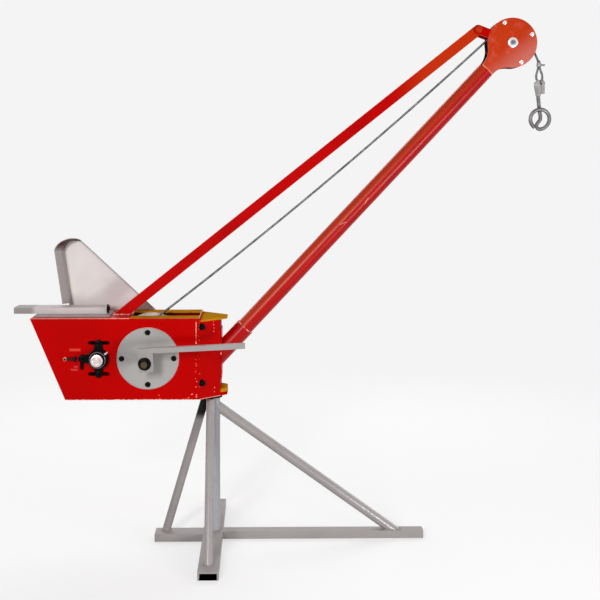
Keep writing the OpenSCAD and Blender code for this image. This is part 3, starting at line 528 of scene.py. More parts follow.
def hexagon(across, height, washer, stud=(0.0, 0.0)):
    """A hexagon head standing on its origin: chamfered corners, a rounded washer under it and a threaded
    end with a radius and a length."""
    piece = prism(6, across / math.sqrt(3), height, washer)
    top = height + washer
    pick(piece, "EDGE", lambda c: c.z > top - height * 0.01)
    bpy.ops.mesh.bevel(offset=across * 0.07, segments=2)
    pick(piece, "FACE", lambda c: c.z > top - height * 0.001)
    bpy.ops.mesh.inset(thickness=across * 0.07)
    bpy.ops.transform.translate(value=(0, 0, -across * 0.02))
    bpy.ops.mesh.select_all(action="DESELECT")
    bpy.ops.mesh.primitive_cylinder_add(vertices=32, radius=across * 0.7, depth=washer,
                                        location=(0, 0, washer / 2))
    pick(piece, "EDGE", lambda c: abs(c.z - washer) < washer * 0.01 and c.xy.length > across * 0.65)
    bpy.ops.mesh.bevel(offset=washer * 0.35, segments=2)
    radius, length = stud
    if radius:
        pitch = radius * 0.3
        bpy.ops.mesh.select_all(action="DESELECT")
        bpy.ops.mesh.primitive_circle_add(vertices=20, radius=radius, fill_type="NGON",
                                          location=(0, 0, top - pitch))
        ridged(pitch, max(2, round((length + pitch) / pitch)))
    bpy.ops.mesh.select_all(action="SELECT")
    bpy.ops.mesh.normals_make_consistent(inside=False)
    return piece


def dome(radius, height, rim=0.0):
    """A round head standing on its origin, rounded over, with a flat rim under it."""
    piece = prism(40, radius, height)
    pick(piece, "EDGE", lambda c: c.z > height * 0.99)
    bpy.ops.mesh.bevel(offset=height * 0.75, segments=6)
    if rim:
        pick(piece, "FACE", lambda c: c.z < height * 0.24 and c.xy.length > radius * 0.9)
        bpy.ops.mesh.extrude_region_shrink_fatten(TRANSFORM_OT_shrink_fatten={"value": rim})
    return piece


def stepped_cap(radius, depth, steps):
    """A turned cap standing on its origin. Each step cuts a ring into its face, so far in and so far up."""
    piece = begin(bpy.ops.mesh.primitive_circle_add, vertices=56, radius=radius, fill_type="NGON")
    edit(piece)
    bpy.ops.mesh.extrude_region_move(TRANSFORM_OT_translate={"value": (0, 0, depth)})
    for inset, rise in steps:
        bpy.ops.mesh.inset(thickness=inset * MM)
        bpy.ops.transform.translate(value=(0, 0, rise * MM))
    return piece


def front_ring(name, centre, radius, thickness, stretch, segments, finish, slot):
    """A thin ring round a part of the winch's front, drawn out along Y."""
    ring = begin(bpy.ops.mesh.primitive_torus_add, major_radius=radius, minor_radius=thickness,
                 major_segments=segments, minor_segments=8, location=centre,
                 rotation=(math.radians(90), 0, 0))
    edit(ring)
    bpy.ops.transform.resize(value=(1, stretch, 1), center_override=ring.location)
    settle(ring, name, finish, "upper", slot, 60)


def facing(axis, turn=0.0, forward="Z"):
    """A turn that points a shape's own forward axis along an axis, after a turn about Z."""
    return (Vector(axis).to_track_quat(forward, "Y") @ Euler((0, 0, turn)).to_quaternion()).to_euler()


def stand(piece, spot, axis, turn=0.0):
    """Stands a piece drawn along +Z on a spot, along an axis."""
    piece.rotation_euler = facing(axis, turn)
    piece.location = spot
    return piece


def mount(piece, spot, axis, turn, name, finish, slot, smooth=35):
    """Stands a piece on the upper part and settles it."""
    return settle(stand(piece, spot, axis, turn), name, finish, "upper", slot, smooth)


def spaced(points, step, closed=False):
    """Points an even step apart along a line of points."""
    points = [Vector(p) for p in points] + ([Vector(points[0])] if closed else [])
    total = sum((b - a).length for a, b in zip(points, points[1:]))
    count = max(2, round(total / step))
    route, gone, leg = [], 0.0, 0
    for i in range(count + (not closed)):
        want = total * i / count
        while leg < len(points) - 2 and gone + (points[leg + 1] - points[leg]).length < want:
            gone += (points[leg + 1] - points[leg]).length
            leg += 1
        side = points[leg + 1] - points[leg]
        route.append(points[leg] + side * min(1.0, (want - gone) / side.length))
    return route


def laid(route, radii, closed=False, rings=2):
    """A round bar along a route, as a curve with its own radius at each point."""
    piece = begin(bpy.ops.curve.primitive_nurbs_path_add)
    piece.location = (0, 0, 0)
    curve = piece.data
    curve.splines.clear()
    line = curve.splines.new("POLY")
    line.points.add(len(route) - 1)
    for point, spot, radius in zip(line.points, route, radii):
        point.co = (*spot, 1)
        point.radius = radius
    line.use_cyclic_u = closed
    curve.dimensions = "3D"
    curve.bevel_depth = 1.0
    curve.bevel_resolution = rings
    curve.use_fill_caps = not closed
    return piece


def weld(name, points, body="upper", slot="red_paint", finish="weld", size=1.0, closed=False):
    """A weld bead along a seam: every ripple swells, a little unevenly, like stacked drops of steel."""
    s = settings()
    route = spaced(points, s.ripple / 2, closed)
    rng = random.Random(name)
    radii = [s.bead * size * (1.0 if i % 2 else 0.74) * rng.uniform(0.86, 1.14)
             for i in range(len(route))]
    return settle(laid(route, radii, closed), name, finish, body, slot, 60)


def drops(name, spots, axis, radius=2.4 * MM):
    """Separate drops of weld metal: one flattened ball, copied to each spot at its own size and joined."""
    rng = random.Random(name)
    ball = begin(bpy.ops.mesh.primitive_ico_sphere_add, subdivisions=2, radius=1.0)
    edit(ball)
    bpy.ops.transform.resize(value=(1, 1, 0.6), center_override=(0, 0, 0))
    bpy.ops.object.mode_set(mode="OBJECT")
    twins = []
    for spot in spots:
        take(ball)
        bpy.ops.object.duplicate(linked=False)
        slip = Vector((rng.uniform(-1, 1), 0, rng.uniform(-1, 1))) * radius * 1.2
        twin = stand(bpy.context.object, Vector(spot) + slip, axis, rng.uniform(0, math.tau))
        twin.scale = [radius * rng.uniform(0.6, 1.5) for _ in range(3)]
        twins.append(twin)
    take(ball)
    bpy.ops.object.delete()
    together(twins)
    if len(twins) > 1:
        bpy.ops.object.join()
    # The drops' pale colour is a painted highlight
    return settle(bpy.context.object, name, "drop", "upper", "red_paint", 60)


def circle(centre, axis, radius, steps=48):
    """Points round an axis."""
    turned = Vector(axis).to_track_quat("Z", "Y")
    return [Vector(centre) + turned @ Vector((radius * math.cos(a), radius * math.sin(a), 0))
            for a in (math.tau * i / steps for i in range(steps))]


class CRANE_OT_finishes(bpy.types.Operator):
    """Make the materials and give every CAD node its own"""

    bl_idname = "crane.finishes"
    bl_label = "Finishes"

    def execute(self, context):
        make_finishes()
        for name, piece in NODES.items():
            dress(piece, NODE_FINISH.get(name, "red"))
        return {"FINISHED"}


# ---- Winch front ----

class CRANE_OT_cover_bolts(bpy.types.Operator):
    """Fix the bearing cover with four black bolts and lay a pale ring, a painted highlight, round its edge"""

    bl_idname = "crane.cover_bolts"
    bl_label = "Cover bolts"

    def execute(self, context):
        mid = Vector((DRUM.x, FRONT_Y - 6 * MM, DRUM.z))
        bolt_circle, rim = 97 * MM, 114.9 * MM
        bolt = mount(hexagon(15 * MM, 6 * MM, 0.8 * MM), mid + Vector((bolt_circle, 0, 0)), TO_FRONT, 0.2,
                     "cover_bolt_1", "blackened", "black_iron")
        copies(bolt, {f"cover_bolt_{i + 1}": about(mid, Matrix.Rotation(i * math.pi / 2, 4, "Y"))
                      for i in (1, 2, 3)})
        front_ring("cover_edge_highlight", mid + Vector((0, 2.4 * MM, 0)), rim, 1.3 * MM, 1.6, 128, "painted_glint",
                   "cover_metal")
        return {"FINISHED"}


class CRANE_OT_lever_nut(bpy.types.Operator):
    """Hold the lever on its spindle with a nut and a washer"""

    bl_idname = "crane.lever_nut"
    bl_label = "Lever nut"

    def execute(self, context):
        end_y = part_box("bearing_cover")[0].y
        shoulder_y = end_y + 20.5 * MM
        mount(hexagon(34 * MM, 14 * MM, 2 * MM), (DRUM.x, shoulder_y, DRUM.z), TO_FRONT, 0.12,
              "lever_nut", "blackened", "black_iron")
        pitch, turns = 2.2 * MM, 3
        thread = begin(bpy.ops.mesh.primitive_circle_add, vertices=28, radius=11.9 * MM, fill_type="NGON")
        edit(thread)
        ridged(pitch, turns)
        bpy.ops.mesh.inset(thickness=3.5 * MM)
        bpy.ops.transform.translate(value=(0, 0, -0.4 * MM))
        mount(thread, (DRUM.x, end_y + turns * pitch - 0.6 * MM, DRUM.z), TO_FRONT, 0,
              "spindle_thread", "thread", "bright_steel")
        return {"FINISHED"}


class CRANE_OT_input_bolts(bpy.types.Operator):
    """Clamp the input housing by its three slots, and give it a ring, a shaft cap and a nipple"""

    bl_idname = "crane.input_bolts"
    bl_label = "Input bearing bolts"

    def execute(self, context):
        arm_y = FRONT_Y - 11 * MM
        up, side = 58 * MM, 62 * MM
        bolt = mount(hexagon(15 * MM, 8 * MM, 1.6 * MM, (3.5 * MM, 4 * MM)),
                     (SHAFT.x, arm_y, SHAFT.z + up), TO_FRONT, 0.4,
                     "housing_bolt_1", "blackened", "black_iron")
        copies(bolt, {"housing_bolt_2": Matrix.Translation((-side, 0, -up)),
                      "housing_bolt_3": Matrix.Translation((0, 0, -2 * up))})
        self.shaft_cap()
        self.nipple()
        return {"FINISHED"}

    def shaft_cap(self):
        """A pressed cap with rings and a centre hole over the shaft's end, and the worn ring round it."""
        end_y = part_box("input_shaft")[0].y
        cap = stepped_cap(22.3 * MM, 4.5 * MM, (
            (2, 0.8), (5.5, 0.1), (1.2, -1.4), (1.4, 0), (1.2, 1.6), (6, 0.3), (0.8, -1.8)))
        mount(cap, (SHAFT.x, end_y + 3.4 * MM, SHAFT.z), TO_FRONT, 0, "shaft_cap", "shaft", "bright_steel",
              50)
        front_ring("housing_ring", (SHAFT.x, end_y + 15 * MM, SHAFT.z), 29 * MM, 1.4 * MM, 1.4, 72, "zinc",
                   "bright_steel")

    def nipple(self):
        """A grease nipple: hexagon foot, waist, round head."""
        rise_angle, reach = math.radians(38), 37 * MM
        out = Vector((math.cos(rise_angle), -0.25, math.sin(rise_angle))).normalized()
        nipple = begin(bpy.ops.mesh.primitive_cylinder_add, vertices=6, radius=5 * MM, depth=6 * MM)
        edit(nipple)
        pick(nipple, "FACE", lambda c: c.z > 2.5 * MM)
        for rise, factor in ((0.2, 0.6), (5, 1.0), (1, 1.5), (2, 1.0), (1.6, 0.5)):
            bpy.ops.mesh.extrude_region_move(TRANSFORM_OT_translate={"value": (0, 0, rise * MM)})
            bpy.ops.transform.resize(value=(factor, factor, 1), center_override=(0, 0, 0))
        mount(nipple, Vector((SHAFT.x, FRONT_Y - 20 * MM, SHAFT.z)) + out * reach, out, 0,
              "grease_nipple", "bright", "bright_steel")


class CRANE_OT_latch_ball(bpy.types.Operator):
    """Put a ball grip on the latch pin's end and three bare label plates beside it"""

    bl_idname = "crane.latch_ball"
    bl_label = "Latch grip and plates"

    def execute(self, context):
        low_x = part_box("latch_pin")[0].x
        grip = begin(bpy.ops.mesh.primitive_uv_sphere_add, segments=24, ring_count=14, radius=7.9 * MM,
                     location=(low_x + 7.5 * MM, FRONT_Y - 12 * MM, SHAFT.z))
        edit(grip)
        pick(grip, "VERT", lambda c: c.z > 6.4 * MM)
        bpy.ops.transform.resize(value=(1, 1, 0.3), center_override=grip.location)
        bpy.ops.object.mode_set(mode="OBJECT")
        grip.rotation_euler = (math.radians(90), 0, 0)
        settle(grip, "latch_grip", "grip", "upper", "bright_steel", 60)
        for name, finish, left, right, low, high in (
                ("long_plate", "tag", -532, -492, 747, 756),
                ("short_plate", "dark_tag", -517, -502, 685, 691),
                ("lower_plate", "dark_tag", -528, -502, 674, 680.5)):
            self.plate(name, finish, *(v * MM for v in (left, right, low, high)))
        return {"FINISHED"}

    def plate(self, name, finish, left, right, low, high):
        """A thin bare plate on the front wall, with a raised rim."""
        plate = begin(bpy.ops.mesh.primitive_cube_add, size=1.0,
                      location=((left + right) / 2, FRONT_Y - 0.45 * MM, (low + high) / 2))
        plate.scale = (right - left, 0.9 * MM, high - low)
        bpy.ops.object.transform_apply()
        edit(plate)
        pick(plate, "FACE", lambda c: c.y < FRONT_Y - 0.8 * MM)
        bpy.ops.mesh.inset(thickness=1.1 * MM)
        bpy.ops.transform.translate(value=(0, 0.3 * MM, 0))
        settle(plate, name, finish, "upper", "red_paint")


class CRANE_OT_rail_buffer(bpy.types.Operator):
    """Stand a rubber buffer with its bolt against the motor rail's right end"""

    bl_idname = "crane.rail_buffer"
    bl_label = "Rail buffer"

    def execute(self, context):
        rail_low, rail_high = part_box("motor_rail")
        radius, width = 17 * MM, 5 * MM
        spot = Vector((rail_high.x, rail_low.y + 8 * MM, rail_low.z + radius + 1 * MM))
        buffer = prism(48, radius, width)
        pick(buffer, "EDGE", lambda c: abs(c.z - width / 2) > width * 0.48 and c.xy.length > radius * 0.9)
        bpy.ops.mesh.bevel(offset=1.5 * MM, segments=3)
        mount(buffer, spot, (1, 0, 0), 0, "rail_buffer", "rubber", "black_iron")
        mount(hexagon(13 * MM, 5 * MM, 1 * MM), spot + Vector((width, 0, 0)), (1, 0, 0), 0.3,
              "buffer_bolt", "blackened", "black_iron")
        return {"FINISHED"}


# ---- Nose and head ----

class CRANE_OT_nose_bolts(bpy.types.Operator):
    """Bolt the nose's slanting side plates at top and bottom, front and back"""

    bl_idname = "crane.nose_bolts"
    bl_label = "Nose bolts"

    def execute(self, context):
        top, bottom = 835 * MM, 625 * MM
        spot = Vector((-43 * MM, -106.7 * MM, top))
        face = Vector((NOSE_FACING.x, -NOSE_FACING.y, 0))
        bolt = mount(hexagon(19 * MM, 10 * MM, 2.5 * MM, (5 * MM, 5 * MM)), spot, face, 0.2,
                     "nose_bolt_top_front", "blackened", "black_iron")
        down = Matrix.Translation((0, 0, bottom - top))
        over = about((0, 0, (top + bottom) / 2), HALF_TURN)
        copies(bolt, {"nose_bolt_bottom_front": down, "nose_bolt_bottom_back": over,
                      "nose_bolt_top_back": over @ down})
        return {"FINISHED"}


class CRANE_OT_head_bolts(bpy.types.Operator):
    """Cap the head's axle and bolt its spacers and the stay"""

    bl_idname = "crane.head_bolts"
    bl_label = "Head bolts"

    def execute(self, context):
        cheek_y = -28 * MM
        axle = Vector((HEAD.x, 0, HEAD.z))
        over = about(axle, HALF_TURN)
        angles = [math.radians(a) for a in (112, 23, -65)]
        bolt_circle = 81 * MM
        first = Vector((bolt_circle * math.cos(angles[0]), cheek_y, bolt_circle * math.sin(angles[0])))
        nut = mount(hexagon(11.5 * MM, 6 * MM, 1.2 * MM), axle + first, TO_FRONT, 0.3,
                    "spacer_nut_1_front", "bright", "bright_steel")

        def turned(angle):
            return about(axle, Matrix.Rotation(angles[0] - angle, 4, "Y"))

        copies(nut, {f"spacer_nut_{i + 1}_front": turned(angles[i]) for i in (1, 2)})
        copies(nut, {f"spacer_nut_{i + 1}_back": over @ turned(-angles[i]) for i in range(3)})
        stay_bolt = Vector((HEAD.x - 128 * MM, 0, HEAD.z + 49 * MM))
        head = mount(dome(12.5 * MM, 9.2 * MM, 1.5 * MM), stay_bolt + Vector((0, cheek_y, 0)), TO_FRONT, 0,
                     "stay_bolt_front", "stay_red", "red_paint", 50)
        copies(head, {"stay_bolt_back": about(stay_bolt, HALF_TURN)})
        self.axle_cap(axle, over)
        return {"FINISHED"}

    def axle_cap(self, axle, over):
        """A bright ring over the axle's head, with the axle's blued end in its middle."""
        ring_y = -35 * MM
        cap = stepped_cap(19.6 * MM, 6.5 * MM, ((1.4, 1.3), (8.2, 0.2), (0.8, -1.6)))
        mount(cap, axle + Vector((0, ring_y + 6.6 * MM, 0)), TO_FRONT, 0,
              "axle_cap_front", "bright", "bright_steel", 50)
        copies(cap, {"axle_cap_back": over})
        end = mount(dome(8.2 * MM, 3 * MM), axle + Vector((0, ring_y - 0.4 * MM, 0)), TO_FRONT, 0,
                    "axle_end_front", "blued", "bright_steel", 50)
        copies(end, {"axle_end_back": over})


# ---- Welds ----

class CRANE_OT_box_welds(bpy.types.Operator):
    """Weld the box's seams, the nose, the jib's socket, the stay's foot and the head's neck"""

    bl_idname = "crane.box_welds"
    bl_label = "Box welds"

    def execute(self, context):
        low, high = WALL_LOW.z, WALL_HIGH.z
        foot_z, top_end = low + 0.5 * MM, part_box("top_plate")[1].x
        seam, corner, step = -63, -51, 770
        for side, word in SIDES:
            y = side * (abs(FRONT_Y) + 0.4 * MM)
            edge_y = side * (abs(FRONT_Y) - 1.6 * MM)
            weld(f"nose_seam_{word}", [(seam * MM, y, (step + 2) * MM), (seam * MM, y, high - 10 * MM)],
                 size=0.9)
            weld(f"nose_seam_low_{word}", [(seam * MM, y, low + 4 * MM), (seam * MM, y, (step - 2) * MM)],
                 size=0.4, finish="red")
            for part, radius, places in (
                    ("nose", 2, [(seam, z) for z in (712, 697, 690, 668, 641, 634, 612, 583)]),
                    ("corner", 1.5, [(corner, z) for z in (851, 838, 826, 800, 786, 757, 716, 661, 612)]),
                    ("floor", 3, [(-76, 585), (-61, 574), (-205, 579), (-196, 568), (-92, 570)])):
                drops(f"{part}_drops_{word}", [(x * MM, y, z * MM) for x, z in places], (0, side, 0),
                      radius * MM)
            weld(f"floor_seam_{word}", [(-546 * MM, y, foot_z), (-70 * MM, y, foot_z)], size=0.6)
            self.nose_side(side, word, foot_z)
            weld(f"top_seam_{word}", [(-674 * MM, edge_y, high), (top_end, edge_y, high)], size=0.8,
                 finish="seam")
        self.jib_welds(high)
        return {"FINISHED"}

    def nose_side(self, side, word, foot_z):
        """Tacks down a slanting side plate, and the bead along its foot."""
        def on_plate(x, z):
            sunk = 1.4 * MM
            half = abs(FRONT_Y) - NOSE_TAPER * (x - NOSE_START) - sunk
            return (x, side * half, z)

        axis = (NOSE_FACING.x, side * NOSE_FACING.y, 0)
        drops(f"side_drops_{word}", [on_plate(x * MM, z * MM) for x, z in (
            (1, 846), (0, 836), (2, 826), (0, 814), (1, 600), (0, 582))], axis)
        drops(f"plug_weld_{word}", [on_plate(24 * MM, 730 * MM)], axis, 4.5 * MM)
        weld(f"nose_foot_{word}", [on_plate(-50 * MM, foot_z), on_plate(24 * MM, foot_z)], size=0.7,
             finish="seam")

    def jib_welds(self, high):
        """The bead round the jib's socket, two tacks on its tube, and the beads at the stay's foot and the
        head's neck."""
        socket_end = JIB_START + JIB_DIR * 171.5 * MM
        weld("socket_ring_weld", circle(socket_end, JIB_DIR, 33.5 * MM), closed=True, size=1.2)
        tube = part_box("jib_tube")[1].y
        for i, (x, rise, lean) in enumerate(((491, 0, 23), (579, -9, 58))):
            spot = Vector((x * MM, 1 * MM - tube, JIB_START.z + x * MM * JIB_DIR.z / JIB_DIR.x + rise * MM))
            reach = Vector((math.cos(math.radians(lean)), 0, math.sin(math.radians(lean)))) * 14 * MM
            weld(f"jib_tack_{i + 1}", [spot - reach, spot + reach], size=0.7, finish="seam")
        left, half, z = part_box("stay_tube")[0].x, 18 * MM, high + 1.5 * MM
        right = left + 66 * MM
        weld("stay_foot_weld", [(left, -half, z), (right, -half, z), (right, half, z), (left, half, z)],
             closed=True)
        neck = Vector((HEAD.x, 0, HEAD.z)) - JIB_DIR * 138 * MM
        for side, word in SIDES:
            out = Vector((0, side * 28.6 * MM, 0))
            weld(f"neck_weld_{word}", [neck + out - JIB_UP * 26 * MM, neck + out + JIB_UP * 26 * MM],
                 size=1.1, finish="seam")


class CRANE_OT_base_welds(bpy.types.Operator):
    """Weld the braces to the feet and the post"""

    bl_idname = "crane.base_welds"
    bl_label = "Base welds"

    def execute(self, context):
        # Each ring's size and points. A brace is given by its foot, its head and its radius in millimetres
        rings = {}
        seam_z = BASE_TOP + 1 * MM
        for name, foot, head, radius in (
                ("left_brace", (-187, 0), (-34, 0, 548), 16), ("long_brace", (685, 0), (0, 0, 520), 19),
                ("front_brace", (-8, -322), (-14, -30, 548), 16),
                ("back_brace", (-8, 262), (-14, 30, 548), 16)):
            start = Vector((foot[0] * MM, foot[1] * MM, BASE_TOP))
            lean = (Vector(head) * MM - start).normalized()
            rings[f"{name}_weld"] = 1.1, [p - lean * ((p.z - seam_z) / lean.z)
                                          for p in circle(start, lean, (radius + 0.8) * MM, 36)]
        rings["post_foot_weld"] = 1.2, circle((0, 0, seam_z), (0, 0, 1), 22 * MM)
        for name, (size, ring) in rings.items():
            weld(name, ring, body="base", slot="grey_paint", finish="weld_grey", closed=True, size=size)
        return {"FINISHED"}


# ---- Rope ----

# A strand's part of the rope's width. Six strands press against each other and leave room for a thin core
STRAND_SHARE = 0.36


class CRANE_OT_rope(bpy.types.Operator):
    """Lay the hoist rope as six strands twisted round each other, from the drum over the head to its eye"""

    bl_idname = "crane.rope"
    bl_label = "Hoist rope"

    def route(self):
        """The rope's middle line: slack up to the head, over the sheave, through the clip and the hook's
        hole, and back up."""
        r = settings().rope / 2
        gap = 0.3 * MM
        wrap_r = 90 * MM + r + gap
        # The angles at which it leaves the drum, meets the sheave and leaves the sheave
        leave, meet, lay_off = (math.radians(a) for a in (36.9, 42.8, 20))
        line_r, sag = 70 * MM, 30 * MM
        start = Vector((DRUM.x - wrap_r * math.sin(leave), 0, DRUM.z + wrap_r * math.cos(leave)))
        end = Vector((HEAD.x - line_r * math.sin(meet), 0, HEAD.z + line_r * math.cos(meet)))
        points = [start + (end - start) * t - Vector((0, 0, 4 * sag * t * (1 - t)))
                  for t in (i / 60 for i in range(61))]
        for i in range(1, 25):
            a = math.pi / 2 + meet + i / 24 * (lay_off - math.pi / 2 - meet)
            points.append(Vector((HEAD.x + line_r * math.cos(a), 0, HEAD.z + line_r * math.sin(a))))
        # How far it lies off the middle in the clip and past the folded plate, and its bend in the hole
        side, through, bend = r + gap, 8 * MM + r + 0.8 * MM, 6 * MM
        x, low, top = HOLE.x - 7.3 * MM, HOLE.z + 64 * MM, HOLE.z + 78 * MM

        def at(dx, y, z, dz):
            """A place off the clip's line and above a level, by millimetres."""
            return Vector((x + dx * MM, y, z + dz * MM))

        def into_hole(way, angles):
            return [Vector((HOLE.x, way * (through - bend + bend * math.cos(a)),
                            HOLE.z + bend - bend * math.sin(a))) for a in map(math.radians, angles)]

        points += [at(-4.5, 2.5 * MM, top, 13), at(-1, side - 0.5 * MM, top, 5), at(0, side, top, 1),
                   at(0, side, low, -1), at(-3, 8 * MM, low, -13), at(-6, through - 1 * MM, low, -28),
                   at(-6.5, through, low, -42), at(-1, through, HOLE.z, 12)]
        points += into_hole(1, range(0, 91, 15)) + into_hole(-1, range(90, -1, -15))
        points += [at(9.3, -through, HOLE.z, 16), at(9.3, 1 * MM - through, low, -32),
                   at(3, -8 * MM, low, -13), at(0, -side, low, -1), at(0, -side, top, 9)]
        return points

    def execute(self, context):
        s = settings()
        route = spaced(self.route(), 3 * MM)
        for _ in range(3):
            eased = [(a + b * 2 + c) / 4 for a, b, c in zip(route, route[1:], route[2:])]
            route = [route[0], *eased, route[-1]]
        strand_r = s.rope / 2 * STRAND_SHARE
        ring_r = s.rope / 2 - strand_r
        strands = []
        for k in range(6):
            line, gone, up = [], 0.0, Vector((0, 1, 0))
            for i, point in enumerate(route):
                ahead = (route[min(i + 1, len(route) - 1)] - route[max(i - 1, 0)]).normalized()
                up = (up - ahead * up.dot(ahead)).normalized()
                gone += (point - route[i - 1]).length if i else 0.0
                a = math.tau * (k / 6 + gone / s.lay)
                line.append(point + (up * math.cos(a) + ahead.cross(up) * math.sin(a)) * ring_r)
            strands.append(laid(line, [strand_r] * len(line), rings=1))
        together(strands)
        bpy.ops.object.convert(target="MESH")
        bpy.ops.object.join()
        rope = settle(bpy.context.object, "rope_strands", "rope", "upper", "rope_wire", 60)
        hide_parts("hoist_rope")
        return {"FINISHED"}


# ---- Stage and camera ----

# A hair below the feet, so that the floor and their undersides don't share a plane
FLOOR_AT = Vector((0.2, 0.5, -0.4 * MM))
# The distances between which it fades away, its tones for light and for the camera, and its glow
FLOOR_FADE = (1.2, 3.2)
FLOOR_TONES = (0.42, 0.5)
FLOOR_GLOW = 0.52
SKY_LIGHT = 0.2
LAMPS_AIM = Vector((0.1, 0, 1.0))

# Each lamp's place, width and height, turn in degrees and power in watts. Both strips lie along the jib, so
# that each draws a line of light on the tube
LAMPS = {
    "key": ((-0.9, -3.9, 2.45), (0.6, 0.3), 0, 34),
    "left strip": ((-1.29, -4.1, 1.88), (0.9, 0.5), JIB_SLOPE, 64),
    "right strip": ((2.2, -2.5, 0.5), (1.0, 0.5), JIB_SLOPE, 44),
    "left fill": ((-3.6, -1.6, 1.8), (1.2, 1.2), 0, 10),
    "right fill": ((4.2, -1.6, 1.8), (1.2, 1.2), 0, 10),
    "back strip": ((0.4, 3.0, 4.0), (4.0, 2.6), 0, 85),
    "back left": ((-3.8, 3.2, 2.0), (3.2, 3.2), 0, 68),
    "back right": ((4.2, 3.2, 2.0), (3.2, 3.2), 0, 68),
}


class CRANE_OT_stage(bpy.types.Operator):
    """Lay the floor and set the lamps and the world"""

    bl_idname = "crane.stage"
    bl_label = "Stage"

    def execute(self, context):
        self.floor()
        self.world(context)
        for name, values in LAMPS.items():
            self.lamp(context, name, *values)
        return {"FINISHED"}

    def seen(self, tree):
        """1 for camera, glossy and transmission rays, 0 for the rays that light the crane."""
        rays = add_node(tree, "ShaderNodeLightPath").outputs
        either = add_node(tree, "ShaderNodeMath", {0: rays["Is Camera Ray"], 1: rays["Is Glossy Ray"]},
                          operation="MAXIMUM")
        return add_node(tree, "ShaderNodeMath", {0: either.outputs[0], 1: rays["Is Transmission Ray"]},
                        operation="MAXIMUM").outputs[0]

    def floor(self):
        """A matt floor that keeps the crane's shadow, lifted to the backdrop's tone and fading into it. Its
        tone is a little darker for the rays that light the crane."""
        floor = begin(bpy.ops.mesh.primitive_circle_add, vertices=96, radius=7, fill_type="NGON",
                      location=FLOOR_AT)
        floor.name = "floor"
        made, tree, place = new_material("Pale matt floor")
        distance = add_node(tree, "ShaderNodeVectorMath", {"Vector": place}, operation="LENGTH")
        fade = add_node(tree, "ShaderNodeMapRange", {"Value": distance.outputs["Value"]},
                        {"From Min": FLOOR_FADE[0], "From Max": FLOOR_FADE[1]},
                        interpolation_type="SMOOTHSTEP")
        seen = self.seen(tree)
        open_floor = self.uncovered(tree, place)
        tone = add_node(tree, "ShaderNodeMapRange", {"Value": seen},
                        {"To Min": FLOOR_TONES[0], "To Max": FLOOR_TONES[1]})
        dull = add_node(tree, "ShaderNodeMath", {0: tone.outputs["Result"], 1: open_floor},
                        operation="MULTIPLY")
        matt = add_node(tree, "ShaderNodeBsdfDiffuse", {"Color": dull.outputs[0]})
        part = add_node(tree, "ShaderNodeMath", {0: seen, 1: open_floor}, operation="MULTIPLY")
        lift = add_node(tree, "ShaderNodeMath", {0: part.outputs[0]}, {1: FLOOR_GLOW},
                        operation="MULTIPLY")
        glow = add_node(tree, "ShaderNodeEmission", {"Strength": lift.outputs[0]})
        both = add_node(tree, "ShaderNodeAddShader", {0: matt.outputs[0], 1: glow.outputs[0]})
        clear = add_node(tree, "ShaderNodeBsdfTransparent")
        mix = add_node(tree, "ShaderNodeMixShader", {"Fac": fade.outputs["Result"], 1: both.outputs[0],
                                                    2: clear.outputs[0]})
        add_node(tree, "ShaderNodeOutputMaterial", {"Surface": mix.outputs[0]})
        floor.data.materials.append(made)

    def uncovered(self, tree, place):
        """0 on the floor that lies inside the base channel, 1 everywhere else. Where it is 0 the floor is
        made black and has no glow: a painted shadow under the channel.
        """
        low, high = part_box("base_channel")
        centre = (low + high) / 2 - FLOOR_AT
        half = (high - low) / 2 - Vector((5, 2, 0)) * MM
        apart = add_node(tree, "ShaderNodeVectorMath", {0: place}, {1: centre}, operation="SUBTRACT")
        size = add_node(tree, "ShaderNodeVectorMath", {0: apart.outputs["Vector"]}, operation="ABSOLUTE")
        parts = add_node(tree, "ShaderNodeSeparateXYZ", {"Vector": size.outputs["Vector"]})
        past = [add_node(tree, "ShaderNodeMath", {0: parts.outputs[i]}, {1: half[i]},
                         operation="GREATER_THAN") for i in (0, 1)]
        return add_node(tree, "ShaderNodeMath", {0: past[0].outputs[0], 1: past[1].outputs[0]},
                        operation="MAXIMUM").outputs[0]

    def world(self, context):
        """The backdrop's own tone for the camera, and a weak white light from everywhere."""
        pale = tuple(settings().backdrop)
        world = bpy.data.worlds.new("Soft studio")
        context.scene.world = world
        world.use_nodes = True
        tree = world.node_tree
        tree.nodes.clear()
        show = add_node(tree, "ShaderNodeBackground", sockets={"Color": (*pale, 1), "Strength": 1.0})
        light = add_node(tree, "ShaderNodeBackground",
                         sockets={"Color": (1, 1, 1, 1), "Strength": SKY_LIGHT})
        mix = add_node(tree, "ShaderNodeMixShader", {"Fac": self.seen(tree), 1: light.outputs[0],
                                                    2: show.outputs[0]})
        add_node(tree, "ShaderNodeOutputWorld", {"Surface": mix.outputs[0]})

    def lamp(self, context, name, where, size, turn, power):
        """An area lamp that looks at the crane's middle."""
        deselect_all()
        bpy.ops.object.light_add(type="AREA", location=where)
        lamp = context.object
        lamp.name = name
        lamp.data.shape = "RECTANGLE"
        lamp.data.size, lamp.data.size_y = size
        lamp.data.energy = power
        lamp.rotation_euler = facing(LAMPS_AIM - Vector(where), math.radians(turn), "-Z")


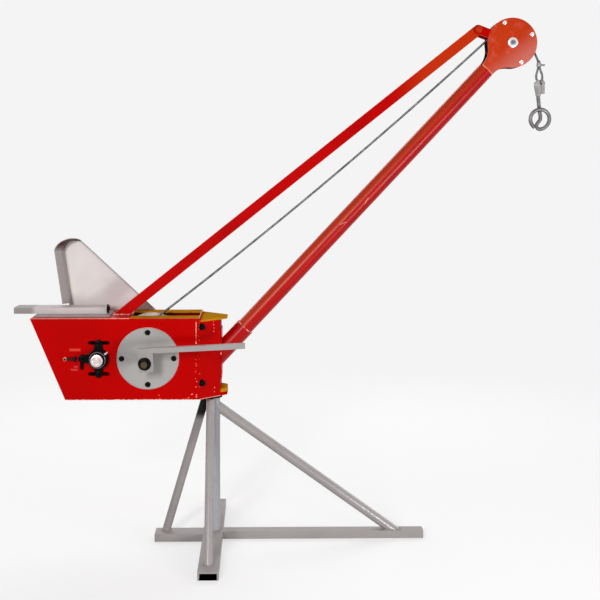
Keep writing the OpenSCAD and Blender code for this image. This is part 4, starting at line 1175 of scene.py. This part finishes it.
class CRANE_OT_camera(bpy.types.Operator):
    """Put the camera in front, at eye height"""

    bl_idname = "crane.camera"
    bl_label = "Camera"

    def execute(self, context):
        deselect_all()
        bpy.ops.object.camera_add(location=(0.1717, -3.5881, 1.4139))
        camera = context.object
        camera.name = "camera"
        camera.data.sensor_width = 36
        camera.data.lens = 56.34
        camera.data.shift_x = 0.0476
        camera.data.shift_y = -0.16
        camera.data.dof.use_dof = False
        camera.rotation_euler = (math.radians(88), 0, math.radians(-0.75))
        context.scene.camera = camera
        context.scene.view_settings.view_transform = "Standard"
        return {"FINISHED"}


CLASSES = [
    CraneSettings,
    CRANE_OT_camera,
    CRANE_OT_finishes,
    CRANE_OT_cover_bolts,
    CRANE_OT_lever_nut,
    CRANE_OT_input_bolts,
    CRANE_OT_latch_ball,
    CRANE_OT_rail_buffer,
    CRANE_OT_nose_bolts,
    CRANE_OT_head_bolts,
    CRANE_OT_box_welds,
    CRANE_OT_base_welds,
    CRANE_OT_rope,
    CRANE_OT_stage,
]


class CRANE_PT_panel(bpy.types.Panel):
    """Lists the crane's steps and settings"""

    bl_idname = "CRANE_PT_panel"
    bl_label = "Portable mini crane"
    bl_space_type = "VIEW_3D"
    bl_region_type = "UI"
    bl_category = "Crane"

    def draw(self, context):
        for name in CraneSettings.__annotations__:
            self.layout.prop(context.scene.crane, name)
        for kind in CLASSES:
            if issubclass(kind, bpy.types.Operator):
                self.layout.operator(kind.bl_idname)


def register():
    for kind in [*CLASSES, CRANE_PT_panel]:
        bpy.utils.register_class(kind)
    bpy.types.Scene.crane = bpy.props.PointerProperty(type=CraneSettings)


def unregister():
    del bpy.types.Scene.crane
    for kind in reversed([*CLASSES, CRANE_PT_panel]):
        bpy.utils.unregister_class(kind)


def main():
    """Registers the add-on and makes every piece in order."""
    register()
    for kind in CLASSES:
        if issubclass(kind, bpy.types.Operator):
            group, name = kind.bl_idname.split(".")
            getattr(getattr(bpy.ops, group), name)()


if __name__ == "__main__":
    main()
